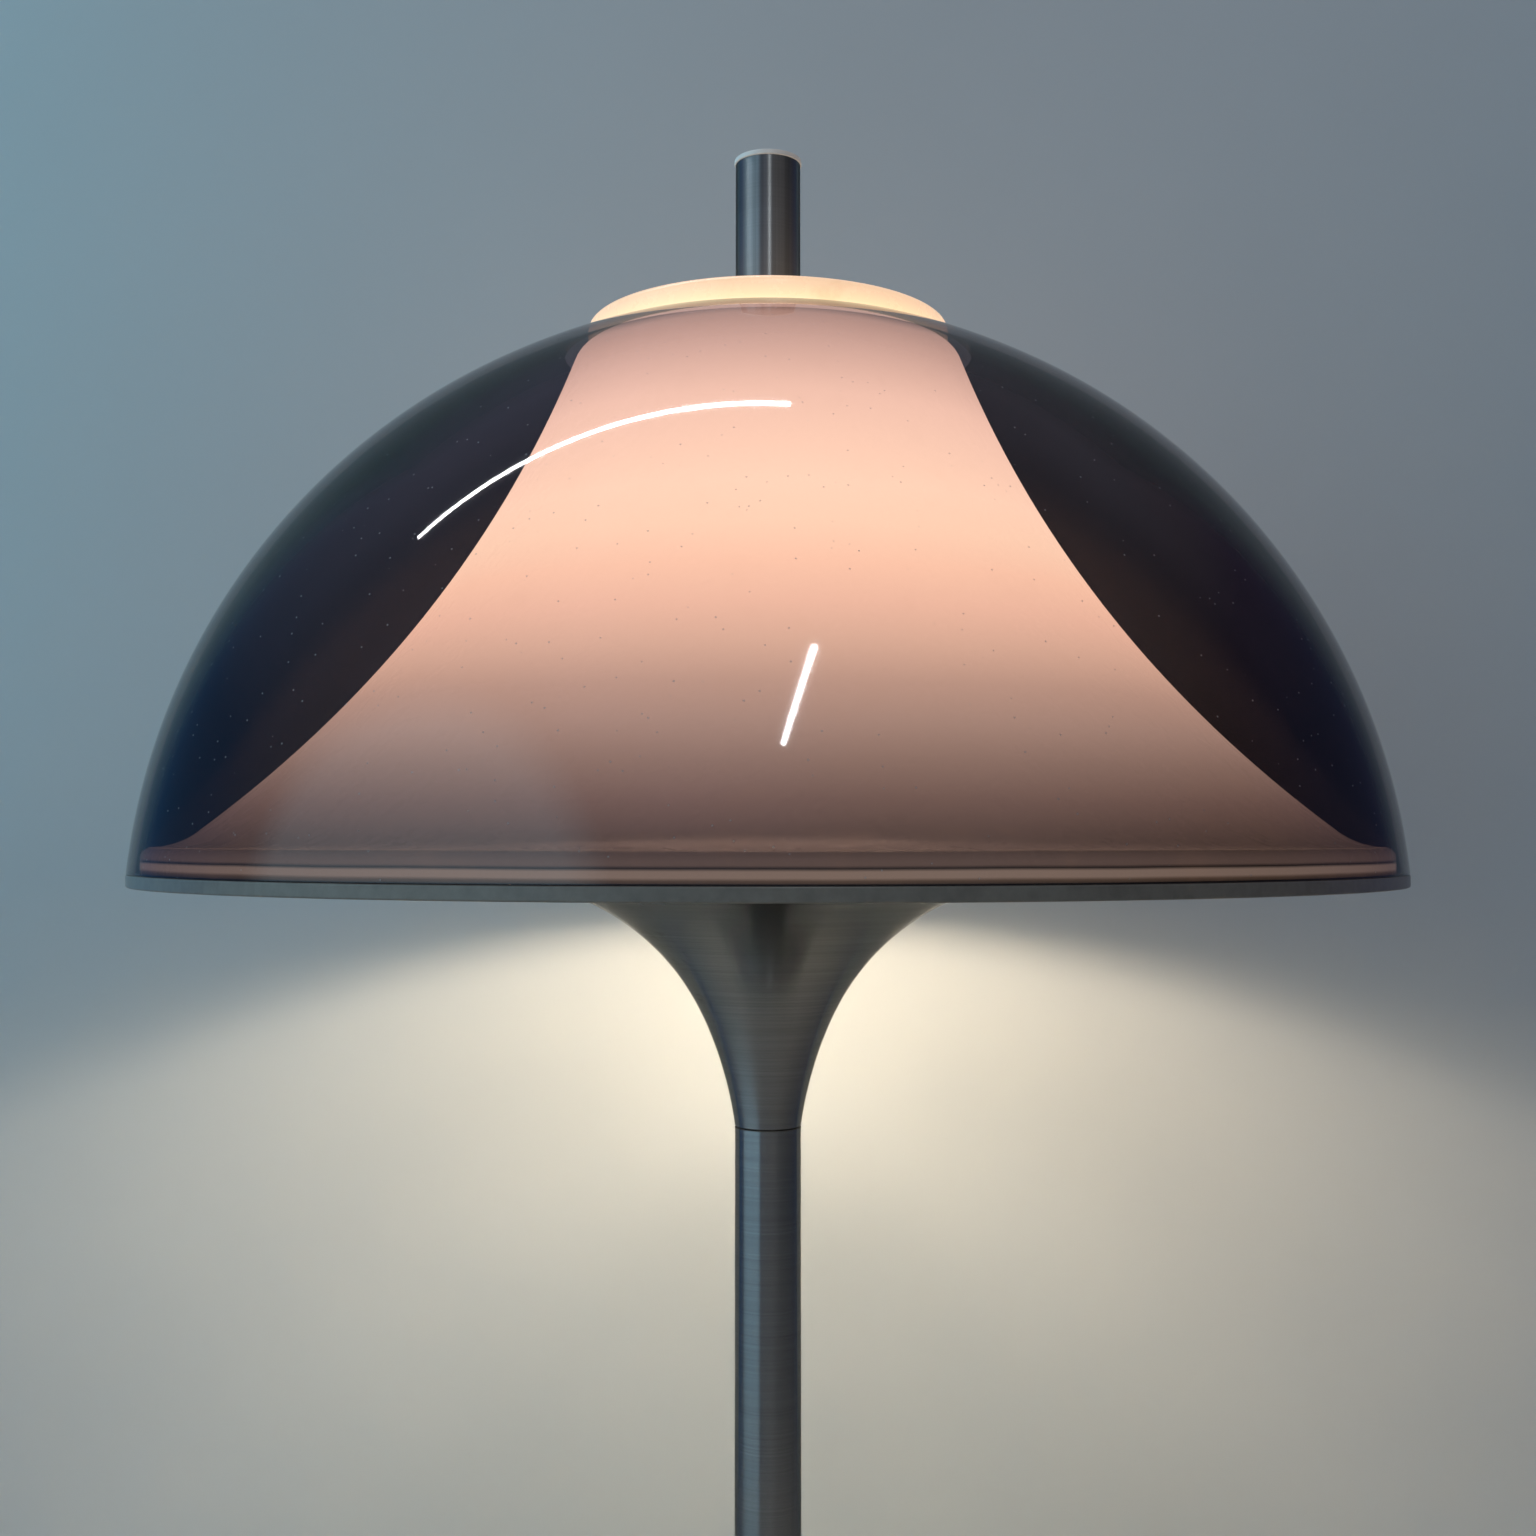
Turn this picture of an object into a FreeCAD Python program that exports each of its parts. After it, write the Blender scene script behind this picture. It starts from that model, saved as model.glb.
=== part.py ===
import FreeCAD, Part
import math
import os

# Mushroom table lamp in millimetres, +Z up, origin at the centre of the felt's underside.
# The front is -Y and the cord inlet is at the back, +Y.

# Fits shared by all pieces
THREAD_GAP = 0.05
PASS_GAP = 0.3
SEAT_GAP = 0.1

# Tube, spun sheet and hollow threaded rod
TUBE_DIAMETER = 25.0
TUBE_WALL = 1.5
SPUN_WALL = 1.5
ROD_DIAMETER = 10.0
ROD_BORE = 7.0
ROD_PROUD = 1.5
NUT_ACROSS_FLATS = 17.0
NUT_HEIGHT = 5.0
WASHER_RADIUS = 12.0
WASHER_THICKNESS = 1.5

# Trumpet neck, the same on the head and on the foot
NECK_ANGLE = 8.1
NECK_ARC = 146.4
NECK_END_ANGLE = 24.3
BUSH_DEPTH = 14.0
BUSH_SPIGOT = 22.0

# Foot
FELT_THICKNESS = 2.0
FELT_MARGIN = 3.0
BASE_PLATE_THICKNESS = 1.5
BASE_PLATE_GAP = 0.5
FOOT_RADIUS = 135.0
FOOT_SKIRT = 13.0
FOOT_SHOULDER = 6.0
FOOT_SHOULDER_ANGLE = 84.0
BALLAST_RADIUS = 110.0
BALLAST_RIM = 15.0
CORD_CHANNEL_WIDTH = 10.0
CORD_CHANNEL_DEPTH = 8.0
BASE_SCREW_RADIUS = 2.0
BASE_SCREW_HEAD_RADIUS = 3.5
BASE_SCREW_LENGTH = 9.0
BASE_SCREW_ANGLES = (30.0, 150.0, 270.0)

# Cord inlet
GROMMET_BORE = 6.4
GROMMET_HOLE = 8.4
GROMMET_FLANGE = 10.4
GROMMET_FLANGE_THICKNESS = 1.6
GROMMET_HEIGHT = 7.6

# Stem and head
STEM_LENGTH = 165.0
HEAD_MOUTH_RADIUS = 91.0
HEAD_MOUTH_ANGLE = 80.0
HOLDER_PLATE_RADIUS = 78.0
HOLDER_PLATE_THICKNESS = 1.5

# Shade
RIM_ABOVE_MOUTH = 0.3
SHADE_RADIUS = 230.0
LIP_BAND = 4.3
LIP_STEP = 9.0
LIP_CORNER = 3.6
LIP_GAP = 0.4
BELL_WALL = 3.0
BELL_SAG = 17.0
BELL_BRIM_WIDTH = 11.5
BELL_NECK_MARGIN = 5.7
BELL_ABOVE_OPENING = 1.0
BELL_BRIM_FILLET = 9.0
BELL_FLANGE_HOLE = 100.0
DOME_WALL = 3.0
DOME_EDGE_ANGLE = 5.5
DOME_LOWER_ARC = 232.2
DOME_CHANGE_ANGLE = 59.8
DOME_UPPER_ARC = 267.8
DOME_OPENING_RADIUS = 78.0
LID_INSET = 3.3
LID_HEIGHT = 10.3
LID_WALL = 2.5
LID_EDGE_FILLET = 2.5
SPIDER_THICKNESS = 3.0
SPIDER_RING_WIDTH = 10.0
SPIDER_RING_GAP = 5.3
SPIDER_ARM_WIDTH = 10.0
SPIDER_HUB_RADIUS = 15.0
SPIDER_ARMS = 3

# Finial
FINIAL_LENGTH = 63.5
FINIAL_THREAD = 14.0
FINIAL_BUSH_LENGTH = 17.0
FINIAL_WASHER_INSET = 1.5
FINIAL_WASHER_THICKNESS = 1.0
FINIAL_CAP_OVERHANG = 0.5
FINIAL_CAP_FLANGE = 1.9
FINIAL_CAP_CROWN = 0.4
FINIAL_CAP_SPIGOT = 8.0

# Lampholders and bulbs
HOLDER_COUNT = 3
HOLDER_CIRCLE_RADIUS = 45.0
HOLDER_FIRST_ANGLE = 90.0
HOLDER_HEIGHT = 44.0
HOLDER_RADIUS = 19.5
HOLDER_FOOT_RADIUS = 16.5
HOLDER_FOOT_HEIGHT = 12.0
HOLDER_SHOULDER = 4.0
HOLDER_WEB = 5.0
HOLDER_CHAMBER_RADIUS = 10.0
CONTACT_RADIUS = 12.3
CONTACT_WIDTH = 8.0
CONTACT_THICKNESS = 0.8
CONTACT_HEIGHT = 15.2
SHELL_WALL = 0.5
SHELL_LEDGE = 2.0
SHELL_HEIGHT = 22.0
NIPPLE_PROUD = 0.5
HOLDER_NUT_ACROSS_FLATS = 14.0
HOLDER_NUT_HEIGHT = 3.0
CAP_RADIUS = 13.1
CAP_WALL = 0.5
CAP_SLEEVE = 17.0
CAP_TAPER = 5.0
CAP_TIP_RADIUS = 5.0
CAP_TIP_HEIGHT = 3.5
BULB_RADIUS = 30.0
BULB_CENTRE = 46.0
BULB_NECK_STRAIGHT = 4.0
BULB_WALL = 0.8
BULB_SINK = 5.0

# Terminal blocks and wiring
TERMINAL_PITCH = 9.5
TERMINAL_LENGTH = 16.0
TERMINAL_HEIGHT = 14.0
TERMINAL_MARGIN = 5.0
BARREL_RADIUS = 2.5
BARREL_BORE_RADIUS = 1.5
TERMINAL_SCREW_RADIUS = 1.5
TERMINAL_SCREW_HEAD_RADIUS = 2.2
TERMINAL_SCREW_HEAD_HEIGHT = 1.6
TERMINAL_SCREW_BITE = 1.5
BASE_TERMINAL_DISTANCE = 42.0
RISER_DIAMETER = 4.4
RISER_BEND = 11.0
RISER_LOOP_BACK = 22.0
RISER_LOOP_SIDE = 28.0
SLOT_GAP = 0.8
LEAD_DIAMETER = 3.0
LEAD_DIP = 8.0
LEAD_RUN_OUT = 6.0
LEAD_SIDE = 21.0
LEAD_TURN = 30.0
CORNER_SHARE = 0.45

# Sizes worked out from the ones above
TUBE_RADIUS = TUBE_DIAMETER / 2
ROD_RADIUS = ROD_DIAMETER / 2
ROD_BORE_RADIUS = ROD_BORE / 2
AXIS = FreeCAD.Vector(0, 0, 1)
ORIGIN = FreeCAD.Vector(0, 0, 0)


def at(radius, height):
    """Point of a turned outline, by its radius and height."""
    return FreeCAD.Vector(radius, 0, height)


def line(start, end):
    """Straight edge between two points."""
    return Part.LineSegment(start, end).toShape()


def polyline(points):
    """Straight edges through the points, in order."""
    return [line(start, end) for start, end in zip(points, points[1:])]


def polar(centre, radius, angle):
    """Point of a circle in the outline's plane, at an angle from the outward direction."""
    return at(centre.x + radius * math.cos(angle), centre.z + radius * math.sin(angle))


def arc(centre, radius, start, end):
    """Arc in the outline's plane between two angles."""
    middle = polar(centre, radius, (start + end) / 2)
    return Part.Arc(polar(centre, radius, start), middle, polar(centre, radius, end)).toShape()


def lathe(edges):
    """Solid turned about Z from a closed outline of edges."""
    outline = Part.Wire(Part.__sortEdges__(edges))
    return Part.Face(outline).revolve(ORIGIN, AXIS, 360)


def turned(points):
    """Solid turned about Z from a closed outline of straight lines."""
    return lathe(polyline(points + points[:1]))


def ring(inner, outer, bottom, height):
    """Plain ring about Z."""
    top = bottom + height
    return turned([at(inner, bottom), at(outer, bottom), at(outer, top), at(inner, top)])


def box(x_low, x_high, y_low, y_high, z_low, z_high):
    """Box between two limits on each axis."""
    corner = FreeCAD.Vector(x_low, y_low, z_low)
    return Part.makeBox(x_high - x_low, y_high - y_low, z_high - z_low, corner)


def rod_along(start, direction, radius, length):
    """Plain cylinder from a point along a direction."""
    return Part.makeCylinder(radius, length, start, direction)


def hex_nut(across_flats, height, bore_radius, bottom):
    """Hexagon nut about Z with its lower face at a height."""
    corner = across_flats / math.sqrt(3)
    angles = [math.radians(60 * step) for step in range(7)]
    outline = [FreeCAD.Vector(corner * math.cos(a), corner * math.sin(a), bottom) for a in angles]
    prism = Part.Face(Part.makePolygon(outline)).extrude(AXIS * height)
    return prism.cut(rod_along(at(0, bottom), AXIS, bore_radius, height))


def rounded_path(points, largest_bend):
    """Straight runs joined by tangent arcs, each arc as large as its runs allow up to a limit."""
    edges = []
    start = points[0]
    for before, corner, after in zip(points, points[1:], points[2:]):
        back = before - corner
        ahead = after - corner
        half_turn = (math.pi - back.getAngle(ahead)) / 2
        shorter = min(back.Length, ahead.Length)
        bend = min(CORNER_SHARE * shorter / math.tan(half_turn), largest_bend)
        tangent = bend * math.tan(half_turn)
        back.normalize()
        ahead.normalize()
        first = corner + back * tangent
        last = corner + ahead * tangent
        inward = back + ahead
        inward.normalize()
        middle = corner + inward * (bend / math.cos(half_turn) - bend)
        edges.append(line(start, first))
        edges.append(Part.Arc(first, middle, last).toShape())
        start = last
        print("bend radius %.1f" % bend)
    edges.append(line(start, points[-1]))
    return edges


def flex(points, diameter, largest_bend):
    """Round flexible lead along a route of points."""
    edges = rounded_path(points, largest_bend)
    route = Part.Wire(edges)
    circle = Part.Circle(points[0], points[1] - points[0], diameter / 2)
    tube = route.makePipeShell([Part.Wire(circle.toShape())], True, False)
    expected = math.pi * diameter * diameter / 4 * route.Length
    print("lead length %.1f volume share %.4f" % (route.Length, tube.Volume / expected))
    return tube


class Flare:
    """Trumpet outline of two tangent arcs, from the tube's end out to a mouth."""

    def __init__(self, mouth_radius, mouth_angle, opens):
        """Set the arcs about a neck at height 0; opens is 1 for upward and -1 for downward."""
        neck = math.radians(NECK_ANGLE)
        change = math.radians(NECK_END_ANGLE)
        self.opens = opens
        self.mouth = math.radians(mouth_angle)
        self.neck = neck
        self.change = change
        change_radius = TUBE_RADIUS + NECK_ARC * (math.cos(neck) - math.cos(change))
        self.mouth_arc = (mouth_radius - change_radius) / (math.cos(change) - math.cos(self.mouth))
        self.reach = (NECK_ARC * (math.sin(change) - math.sin(neck))
                      + self.mouth_arc * (math.sin(self.mouth) - math.sin(change)))
        self.place(0.0)

    def place(self, neck_height):
        """Move the neck to a height."""
        self.neck_height = neck_height
        self.neck_centre = at(TUBE_RADIUS + NECK_ARC * math.cos(self.neck),
                              neck_height - self.opens * NECK_ARC * math.sin(self.neck))
        shift = NECK_ARC - self.mouth_arc
        self.mouth_centre = at(self.neck_centre.x - shift * math.cos(self.change),
                               self.neck_centre.z + self.opens * shift * math.sin(self.change))

    def turn(self, angle):
        """Angle about an arc's centre for a slope measured from the vertical."""
        return math.pi - self.opens * angle

    def neck_angle_at(self, depth, inset):
        """Slope of the neck's arc at a depth past the neck's end, on the surface set in by inset."""
        return math.asin((NECK_ARC * math.sin(self.neck) + depth) / (NECK_ARC + inset))

    def neck_edge(self, inset, end_angle):
        """Arc of the neck from its end to a slope, on the surface set in by inset."""
        start = self.neck_angle_at(0.0, inset)
        return arc(self.neck_centre, NECK_ARC + inset, self.turn(start), self.turn(end_angle))

    def mouth_edge(self, inset):
        """Arc from the neck to the mouth, on the surface set in by inset."""
        return arc(self.mouth_centre, self.mouth_arc + inset, self.turn(self.change), self.turn(self.mouth))

    def mouth_point(self, inset):
        """Point at the mouth, on the surface set in by inset."""
        return polar(self.mouth_centre, self.mouth_arc + inset, self.turn(self.mouth))

    def neck_point(self, inset):
        """Point at the neck's end, on the surface set in by inset."""
        return polar(self.neck_centre, NECK_ARC + inset, self.turn(self.neck_angle_at(0.0, inset)))

    def inner_height(self, radius):
        """Height of the sheet's inner surface at a radius near the mouth."""
        arc_radius = self.mouth_arc + SPUN_WALL
        aside = self.mouth_centre.x - radius
        return self.mouth_centre.z + self.opens * math.sqrt(arc_radius ** 2 - aside ** 2)

    def skin(self, inset):
        """Neck and mouth arcs of the surface set in by inset."""
        return [self.neck_edge(inset, self.change), self.mouth_edge(inset)]


# Heights from the table up
shoulder_angle = math.radians(FOOT_SHOULDER_ANGLE)
foot_flare = Flare(FOOT_RADIUS - FOOT_SHOULDER * (1 - math.cos(shoulder_angle)), FOOT_SHOULDER_ANGLE, -1)
foot_shoulder_height = FELT_THICKNESS + FOOT_SKIRT
foot_top = foot_shoulder_height + FOOT_SHOULDER * math.sin(shoulder_angle) + foot_flare.reach
foot_flare.place(foot_top)
ballast_bottom = FELT_THICKNESS + BASE_PLATE_THICKNESS
base_screw_circle = BALLAST_RADIUS - BALLAST_RIM / 2
ballast_top = foot_flare.inner_height(BALLAST_RADIUS) - SEAT_GAP
base_nut_bottom = ballast_bottom + ROD_PROUD + SEAT_GAP
base_washer_bottom = base_nut_bottom + NUT_HEIGHT
ballast_web_bottom = base_washer_bottom + WASHER_THICKNESS
rod_bottom = base_nut_bottom - ROD_PROUD
stem_top = foot_top + STEM_LENGTH
head_flare = Flare(HEAD_MOUTH_RADIUS, HEAD_MOUTH_ANGLE, 1)
head_flare.place(stem_top)
plate_bottom = head_flare.inner_height(HOLDER_PLATE_RADIUS) + SEAT_GAP
plate_top = plate_bottom + HOLDER_PLATE_THICKNESS
rim = stem_top + head_flare.reach + RIM_ABOVE_MOUTH
ledge = rim + LIP_BAND
brim = ledge + LIP_STEP

# Dome arcs and the height of its opening
edge_angle = math.radians(DOME_EDGE_ANGLE)
change_angle = math.radians(DOME_CHANGE_ANGLE)
dome_lower_centre = at(SHADE_RADIUS - DOME_LOWER_ARC * math.cos(edge_angle),
                       ledge - DOME_LOWER_ARC * math.sin(edge_angle))
dome_shift = DOME_LOWER_ARC - DOME_UPPER_ARC
dome_upper_centre = at(dome_lower_centre.x + dome_shift * math.cos(change_angle),
                       dome_lower_centre.z + dome_shift * math.sin(change_angle))


def dome_edge_angle(inset):
    """Angle where the dome's lower arc, set in by inset, meets the ledge."""
    return math.asin((ledge - dome_lower_centre.z) / (DOME_LOWER_ARC - inset))


def dome_opening_angle(inset):
    """Angle where the dome's upper arc, set in by inset, meets the opening."""
    return math.acos((DOME_OPENING_RADIUS - dome_upper_centre.x) / (DOME_UPPER_ARC - inset))


def dome_inner_radius(height):
    """Inner radius of the dome's lower arc at a height."""
    reach = DOME_LOWER_ARC - DOME_WALL
    return dome_lower_centre.x + math.sqrt(reach ** 2 - (height - dome_lower_centre.z) ** 2)


opening_height = polar(dome_upper_centre, DOME_UPPER_ARC, dome_opening_angle(0.0)).z
bell_top = opening_height + BELL_ABOVE_OPENING
bell_neck_radius = DOME_OPENING_RADIUS - BELL_NECK_MARGIN
bell_flange_bottom = bell_top - BELL_WALL
lip_radius = dome_inner_radius(brim) - LIP_GAP
spider_bottom = bell_flange_bottom - SPIDER_THICKNESS
lid_radius = bell_neck_radius - LID_INSET
lid_top = bell_top + LID_HEIGHT
finial_bottom = lid_top + FINIAL_WASHER_THICKNESS
finial_top = finial_bottom + FINIAL_LENGTH
rod_top = finial_bottom + FINIAL_THREAD

# Lampholder heights above the holder plate
shell_bottom = CONTACT_HEIGHT + CONTACT_THICKNESS + SHELL_LEDGE
shell_inner_radius = CAP_RADIUS + PASS_GAP
shell_outer_radius = shell_inner_radius + SHELL_WALL
cap_bottom = CONTACT_HEIGHT + CONTACT_THICKNESS + PASS_GAP
cap_top = cap_bottom + CAP_TIP_HEIGHT + CAP_TAPER + CAP_SLEEVE
terminal_height_base = ballast_top + TERMINAL_HEIGHT / 2
terminal_height_head = plate_bottom - TERMINAL_HEIGHT / 2
head_terminal_distance = HOLDER_CIRCLE_RADIUS / 2 - TERMINAL_PITCH / 2


def holder_places():
    """Centres of the lampholders on top of the plate."""
    places = []
    for index in range(HOLDER_COUNT):
        angle = math.radians(HOLDER_FIRST_ANGLE + 360.0 * index / HOLDER_COUNT)
        x = HOLDER_CIRCLE_RADIUS * math.cos(angle)
        y = HOLDER_CIRCLE_RADIUS * math.sin(angle)
        places.append(FreeCAD.Vector(x, y, plate_top))
    return places


def moved(shape, place):
    """Copy of a shape moved by a vector."""
    copy = shape.copy()
    copy.translate(place)
    return copy


def base_screw_places():
    """Centres of the base plate's screws at the plate's underside."""
    places = []
    for degrees in BASE_SCREW_ANGLES:
        angle = math.radians(degrees)
        x = base_screw_circle * math.cos(angle)
        y = base_screw_circle * math.sin(angle)
        places.append(FreeCAD.Vector(x, y, FELT_THICKNESS))
    return places


def countersunk(shank_radius, head_radius, length):
    """Countersunk screw about Z, its head's flat face at height 0."""
    cone = head_radius - shank_radius
    return turned([
        at(0, 0), at(head_radius, 0), at(shank_radius, cone), at(shank_radius, length), at(0, length),
    ])


def base_plate_radius():
    """Radius of the plate that closes the foot."""
    return FOOT_RADIUS - SPUN_WALL - BASE_PLATE_GAP


def felt_pad():
    """Felt disc that the lamp stands on."""
    return Part.makeCylinder(base_plate_radius() - FELT_MARGIN, FELT_THICKNESS)


def base_plate():
    """Steel plate that closes the foot, with countersunk holes."""
    plate = Part.makeCylinder(base_plate_radius(), BASE_PLATE_THICKNESS, at(0, FELT_THICKNESS))
    hole = countersunk(BASE_SCREW_RADIUS + SEAT_GAP, BASE_SCREW_HEAD_RADIUS + SEAT_GAP, BASE_SCREW_LENGTH)
    for place in base_screw_places():
        plate = plate.cut(moved(hole, place))
    return plate


def base_plate_screws():
    """Screws that hold the base plate to the ballast."""
    screw = countersunk(BASE_SCREW_RADIUS, BASE_SCREW_HEAD_RADIUS, BASE_SCREW_LENGTH)
    return Part.makeCompound([moved(screw, place) for place in base_screw_places()])


def ballast():
    """Cast weight with a recess for the rod's nut and a channel for the cord."""
    recess = BALLAST_RADIUS - BALLAST_RIM
    weight = turned([
        at(ROD_RADIUS + PASS_GAP, ballast_web_bottom), at(recess, ballast_web_bottom),
        at(recess, ballast_bottom), at(BALLAST_RADIUS, ballast_bottom),
        at(BALLAST_RADIUS, ballast_top), at(ROD_RADIUS + PASS_GAP, ballast_top),
    ])
    half = CORD_CHANNEL_WIDTH / 2
    inner_end = BASE_TERMINAL_DISTANCE + TERMINAL_LENGTH / 2
    channel_floor = ballast_top - CORD_CHANNEL_DEPTH
    weight = weight.cut(box(-half, half, inner_end, BALLAST_RADIUS + half, channel_floor, ballast_top + half))
    screw_depth = BASE_SCREW_LENGTH + PASS_GAP
    for place in base_screw_places():
        weight = weight.cut(rod_along(place, AXIS, BASE_SCREW_RADIUS + THREAD_GAP, screw_depth))
    bite = TERMINAL_SCREW_BITE + PASS_GAP
    start = FreeCAD.Vector(TERMINAL_PITCH / 2, BASE_TERMINAL_DISTANCE, ballast_top - bite)
    return weight.cut(rod_along(start, AXIS, TERMINAL_SCREW_RADIUS + THREAD_GAP, bite))


def foot_skin(inset):
    """Flare, shoulder and skirt of the foot, on the surface set in by inset."""
    mouth = foot_flare.mouth_point(0.0)
    centre = at(mouth.x - FOOT_SHOULDER * math.cos(shoulder_angle), foot_shoulder_height)
    shoulder = arc(centre, FOOT_SHOULDER - inset, shoulder_angle, 0.0)
    skirt = line(at(FOOT_RADIUS - inset, foot_shoulder_height), at(FOOT_RADIUS - inset, FELT_THICKNESS))
    return foot_flare.skin(inset) + [shoulder, skirt]


def grommet_height():
    """Height of the cord inlet's axis."""
    return FELT_THICKNESS + GROMMET_HEIGHT


def foot_shell():
    """Spun foot with the hole for the cord grommet in the back of its skirt."""
    neck = line(foot_flare.neck_point(0.0), foot_flare.neck_point(SPUN_WALL))
    edge = line(at(FOOT_RADIUS, FELT_THICKNESS), at(FOOT_RADIUS - SPUN_WALL, FELT_THICKNESS))
    shell = lathe(foot_skin(0.0) + foot_skin(SPUN_WALL) + [neck, edge])
    start = FreeCAD.Vector(0, FOOT_RADIUS - GROMMET_FLANGE, grommet_height())
    hole = rod_along(start, FreeCAD.Vector(0, 1, 0), GROMMET_HOLE / 2, 2 * GROMMET_FLANGE)
    return shell.cut(hole)


def cord_grommet():
    """Rubber bush in the back of the foot for the mains cord."""
    groove = SPUN_WALL + 2 * PASS_GAP
    half = groove / 2
    far = half + GROMMET_FLANGE_THICKNESS
    groove_radius = GROMMET_HOLE / 2 - SEAT_GAP
    bush = turned([
        at(GROMMET_BORE / 2, -far), at(GROMMET_FLANGE / 2, -far), at(GROMMET_FLANGE / 2, -half),
        at(groove_radius, -half), at(groove_radius, half), at(GROMMET_FLANGE / 2, half),
        at(GROMMET_FLANGE / 2, far), at(GROMMET_BORE / 2, far),
    ])
    bush.rotate(ORIGIN, FreeCAD.Vector(1, 0, 0), 90)
    bush.translate(FreeCAD.Vector(0, FOOT_RADIUS - SPUN_WALL / 2, grommet_height()))
    return bush


def stem_bush(flare):
    """Plug that lines up the stem tube with a trumpet's neck."""
    inset = SPUN_WALL + SEAT_GAP
    end_slope = flare.neck_angle_at(BUSH_DEPTH, inset)
    neck = flare.neck_point(inset)
    deep = polar(flare.neck_centre, NECK_ARC + inset, flare.turn(end_slope))
    bore = ROD_RADIUS + SEAT_GAP
    spigot_radius = TUBE_RADIUS - TUBE_WALL - SEAT_GAP
    spigot_end = flare.neck_height - flare.opens * BUSH_SPIGOT
    straight = polyline([deep, at(bore, deep.z), at(bore, spigot_end), at(spigot_radius, spigot_end),
                         at(spigot_radius, neck.z), neck])
    return lathe([flare.neck_edge(inset, end_slope)] + straight)


def stem_tube():
    """Straight tube between the foot and the head."""
    return ring(TUBE_RADIUS - TUBE_WALL, TUBE_RADIUS, foot_top, STEM_LENGTH)


def rod_slot(height):
    """Cutter for the slot where the riser goes through the rod's wall, towards the back."""
    half = RISER_DIAMETER / 2 + SLOT_GAP
    inside_bend = RISER_BEND - RISER_DIAMETER / 2
    bore_rise = RISER_BEND - math.sqrt(inside_bend ** 2 - (RISER_BEND - ROD_BORE_RADIUS) ** 2)
    low = height
    high = height + bore_rise - RISER_DIAMETER / 2
    across = FreeCAD.Vector(0, 1, 0)
    cutter = box(-half, half, 0, ROD_DIAMETER, low, high)
    for end in (low, high):
        cutter = cutter.fuse(rod_along(at(0, end), across, half, ROD_DIAMETER))
    return cutter


def tie_rod():
    """Hollow threaded rod that clamps the lamp from the ballast to the finial."""
    rod = ring(ROD_BORE_RADIUS, ROD_RADIUS, rod_bottom, rod_top - rod_bottom)
    rod = rod.cut(rod_slot(terminal_height_base))
    top_slot = rod_slot(-terminal_height_head)
    top_slot = top_slot.mirror(ORIGIN, AXIS)
    return rod.cut(top_slot)


def rod_nuts():
    """Nuts on the rod: under the ballast, on the holder plate, and below and above the spider."""
    bottoms = [base_nut_bottom, plate_top + WASHER_THICKNESS, spider_bottom - NUT_HEIGHT, bell_flange_bottom]
    bore = ROD_RADIUS + THREAD_GAP
    return Part.makeCompound([hex_nut(NUT_ACROSS_FLATS, NUT_HEIGHT, bore, bottom) for bottom in bottoms])


def rod_washers():
    """Washers under the nuts of the ballast and of the holder plate."""
    bore = ROD_RADIUS + SEAT_GAP
    bottoms = [base_washer_bottom, plate_top]
    return Part.makeCompound([ring(bore, WASHER_RADIUS, bottom, WASHER_THICKNESS) for bottom in bottoms])


def head_trumpet():
    """Spun trumpet under the shade."""
    neck = line(head_flare.neck_point(0.0), head_flare.neck_point(SPUN_WALL))
    mouth = line(head_flare.mouth_point(0.0), head_flare.mouth_point(SPUN_WALL))
    return lathe(head_flare.skin(0.0) + head_flare.skin(SPUN_WALL) + [neck, mouth])


def holder_plate():
    """Disc in the trumpet's mouth that carries the lampholders."""
    plate = ring(ROD_RADIUS + SEAT_GAP, HOLDER_PLATE_RADIUS, plate_bottom, HOLDER_PLATE_THICKNESS)
    for place in holder_places():
        hole_start = FreeCAD.Vector(place.x, place.y, plate_bottom)
        plate = plate.cut(rod_along(hole_start, AXIS, ROD_RADIUS + SEAT_GAP, HOLDER_PLATE_THICKNESS))
    start = FreeCAD.Vector(0, -head_terminal_distance, plate_bottom)
    return plate.cut(rod_along(start, AXIS, TERMINAL_SCREW_RADIUS + THREAD_GAP, HOLDER_PLATE_THICKNESS))


def way_offsets(ways):
    """Places of a terminal block's barrels across the block."""
    return [TERMINAL_PITCH * (way - (ways - 1) / 2) for way in range(ways)]


def terminal_block(ways, screw_offset):
    """Terminal block about the origin, its barrels along Y and its fixing hole along Z."""
    half_width = (ways - 1) * TERMINAL_PITCH / 2 + TERMINAL_MARGIN
    half_length = TERMINAL_LENGTH / 2
    half_height = TERMINAL_HEIGHT / 2
    block = box(-half_width, half_width, -half_length, half_length, -half_height, half_height)
    along = FreeCAD.Vector(0, 1, 0)
    for offset in way_offsets(ways):
        start = FreeCAD.Vector(offset, -half_length, 0)
        block = block.cut(rod_along(start, along, BARREL_RADIUS + SEAT_GAP, TERMINAL_LENGTH))
    start = FreeCAD.Vector(screw_offset, 0, -half_height)
    return block.cut(rod_along(start, AXIS, TERMINAL_SCREW_RADIUS + SEAT_GAP, TERMINAL_HEIGHT))


def terminal_barrels(ways):
    """Brass barrels of a terminal block about the origin."""
    along = FreeCAD.Vector(0, 1, 0)
    barrels = []
    for offset in way_offsets(ways):
        start = FreeCAD.Vector(offset, -TERMINAL_LENGTH / 2, 0)
        barrel = rod_along(start, along, BARREL_RADIUS, TERMINAL_LENGTH)
        barrels.append(barrel.cut(rod_along(start, along, BARREL_BORE_RADIUS, TERMINAL_LENGTH)))
    return Part.makeCompound(barrels)


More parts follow.
